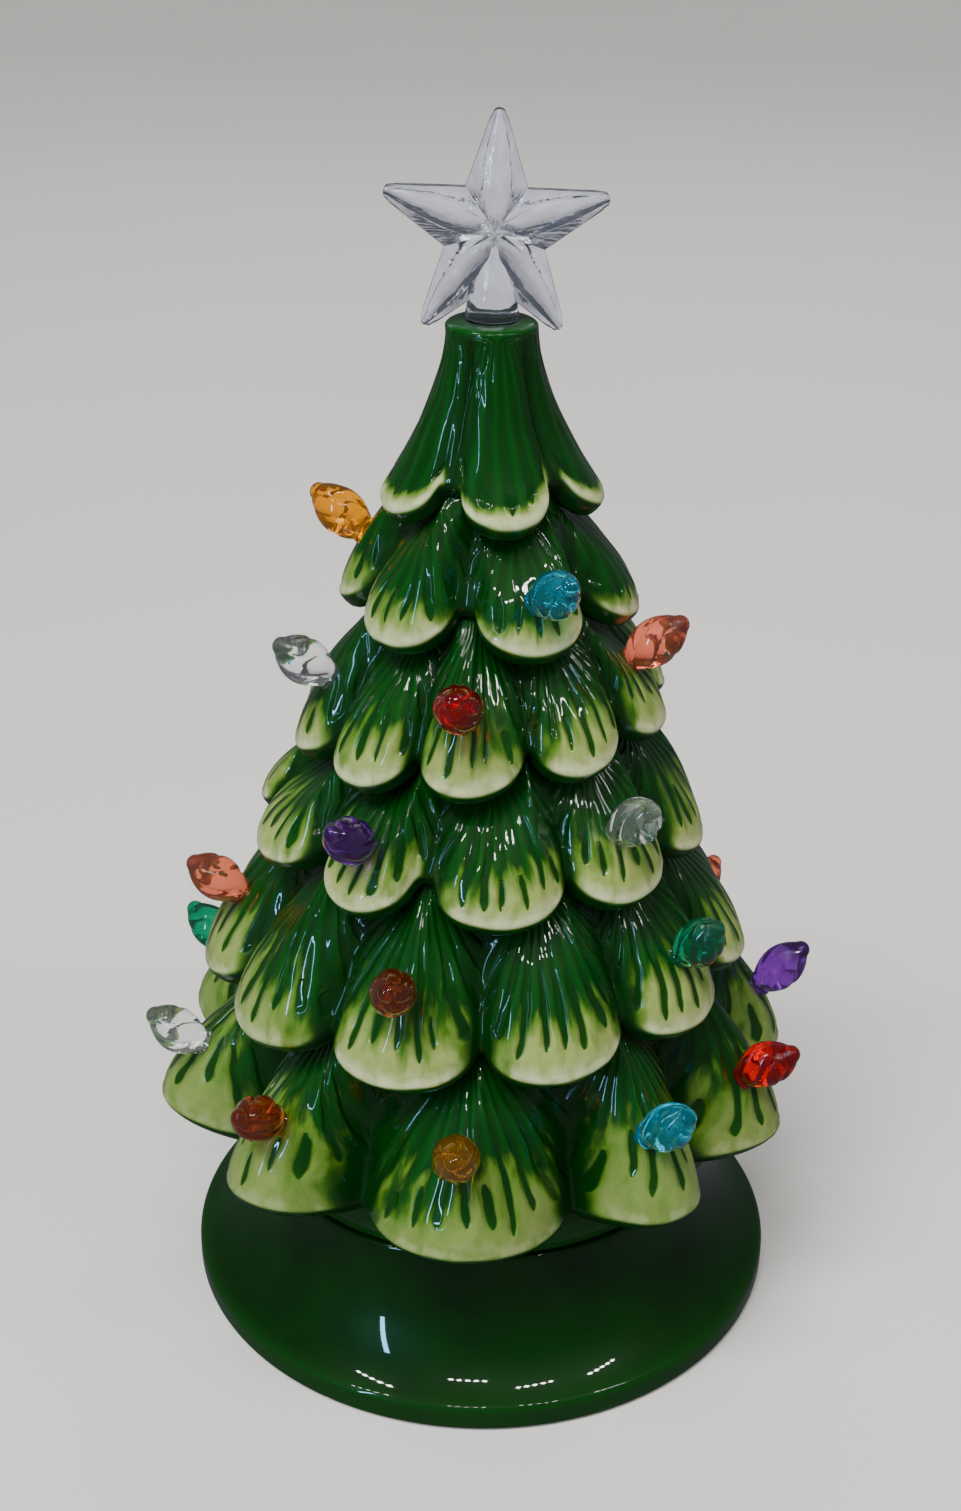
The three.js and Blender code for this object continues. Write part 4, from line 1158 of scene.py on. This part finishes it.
# Floor, lamps and camera
print("stage: studio")
floorSet = {"colour": (0.74, 0.73, 0.71), "half": 8.0, "roughness": 0.6}
half = floorSet["half"]
floor = meshFrom("floor", [(-half, -half, 0), (half, -half, 0), (half, half, 0), (-half, half, 0)], [(0, 1, 2, 3)])
floorNodes = Nodes("floorPaint")
floor.data.materials.append(floorNodes.give(
    Base_Color=floorNodes.tone(3.0, floorSet["colour"], 0.97), Roughness=floorSet["roughness"]))
floor.visible_glossy = False


def aimedLamp(name, kind, place, strength, colour, seen):
    data = bpy.data.lights.new(name, kind)
    data.energy = strength
    data.color = colour
    obj = link(bpy.data.objects.new(name, data))
    obj.location = place
    obj.rotation_euler = (Vector((0, 0, 0.1)) - obj.location).to_track_quat("-Z", "Y").to_euler()
    obj.visible_glossy = seen
    return data


def areaLamp(name, place, size, power, seen, colour=(1.0, 0.98, 0.95)):
    data = aimedLamp(name, "AREA", place, power, colour, seen)
    data.shape = "RECTANGLE"
    data.size, data.size_y = size


# The sun and the soft lamps stay out of reflections; the strip makes the long blue ones
sunSet = {"from": (-0.35, -0.42, 1.0), "strength": 2.5, "spread": 24.0, "colour": (1.0, 0.97, 0.93)}
lampSet = {
    "softTop": {"place": (-0.1, -0.2, 1.1), "size": (0.5, 0.5), "power": 5.0, "seen": False},
    "softLeft": {"place": (-1.1, -0.6, 0.7), "size": (0.5, 0.7), "power": 2.5, "seen": False},
    "softRight": {"place": (1.1, -0.3, 0.8), "size": (0.5, 0.7), "power": 2.5, "seen": False},
    "softBack": {"place": (0.1, 1.0, 0.9), "size": (0.9, 0.5), "power": 3.0, "seen": False},
    "stripBlue": {"place": (-0.62, -0.72, 0.5), "size": (0.03, 0.5), "power": 2.6, "seen": True,
                  "colour": (0.3, 0.66, 1.0)},
}
# Rows of small lamps that make rows of crisp dots on the glaze
dotSet = {"rows": [(-0.16, -0.62, 0.95), (0.2, -0.5, 1.0), (0.5, -0.35, 0.85), (-0.55, -0.3, 0.95)], "count": 5,
          "step": 0.045, "size": 0.022, "power": 0.2}

sun = aimedLamp("sun", "SUN", sunSet["from"], sunSet["strength"], sunSet["colour"], False)
sun.angle = math.radians(sunSet["spread"])
for name, lamp in lampSet.items():
    areaLamp(name, **lamp)
for r, (x, y, z) in enumerate(dotSet["rows"]):
    for k in range(dotSet["count"]):
        areaLamp(f"dot{r}{k}", (x + k * dotSet["step"], y, z), (dotSet["size"], dotSet["size"]), dotSet["power"], True)

skySet = {"colour": (0.82, 0.86, 0.92), "strength": 0.12}
world = bpy.data.worlds.new("sky")
world.use_nodes = True
background = world.node_tree.nodes["Background"]
background.inputs[0].default_value = (*skySet["colour"], 1.0)
background.inputs[1].default_value = skySet["strength"]
bpy.context.scene.world = world

# Camera fitted to the photograph: place in metres, lens in mm on a 36 mm sensor, angles in degrees
cameraSet = {"place": (0.0, -0.3374, 0.2773), "lens": 48.84, "down": 26.48, "yaw": -0.19, "roll": 0.595}
cameraData = bpy.data.cameras.new("camera")
cameraData.lens = cameraSet["lens"]
cameraData.sensor_width = 36.0
camera = link(bpy.data.objects.new("camera", cameraData))
pitch = math.radians(cameraSet["down"])
yaw = math.radians(cameraSet["yaw"])
roll = math.radians(cameraSet["roll"])
ahead = Vector((math.sin(yaw) * math.cos(pitch), math.cos(yaw) * math.cos(pitch), -math.sin(pitch)))
right = Vector((math.cos(yaw), -math.sin(yaw), 0))
upward = right.cross(ahead)
rolledRight = math.cos(roll) * right + math.sin(roll) * upward
rolledUp = -math.sin(roll) * right + math.cos(roll) * upward
camera.matrix_world = (Matrix.Translation(Vector(cameraSet["place"]))
                       @ Matrix((rolledRight, rolledUp, -ahead)).transposed().to_4x4())
bpy.context.scene.camera = camera

print("stage: finish")
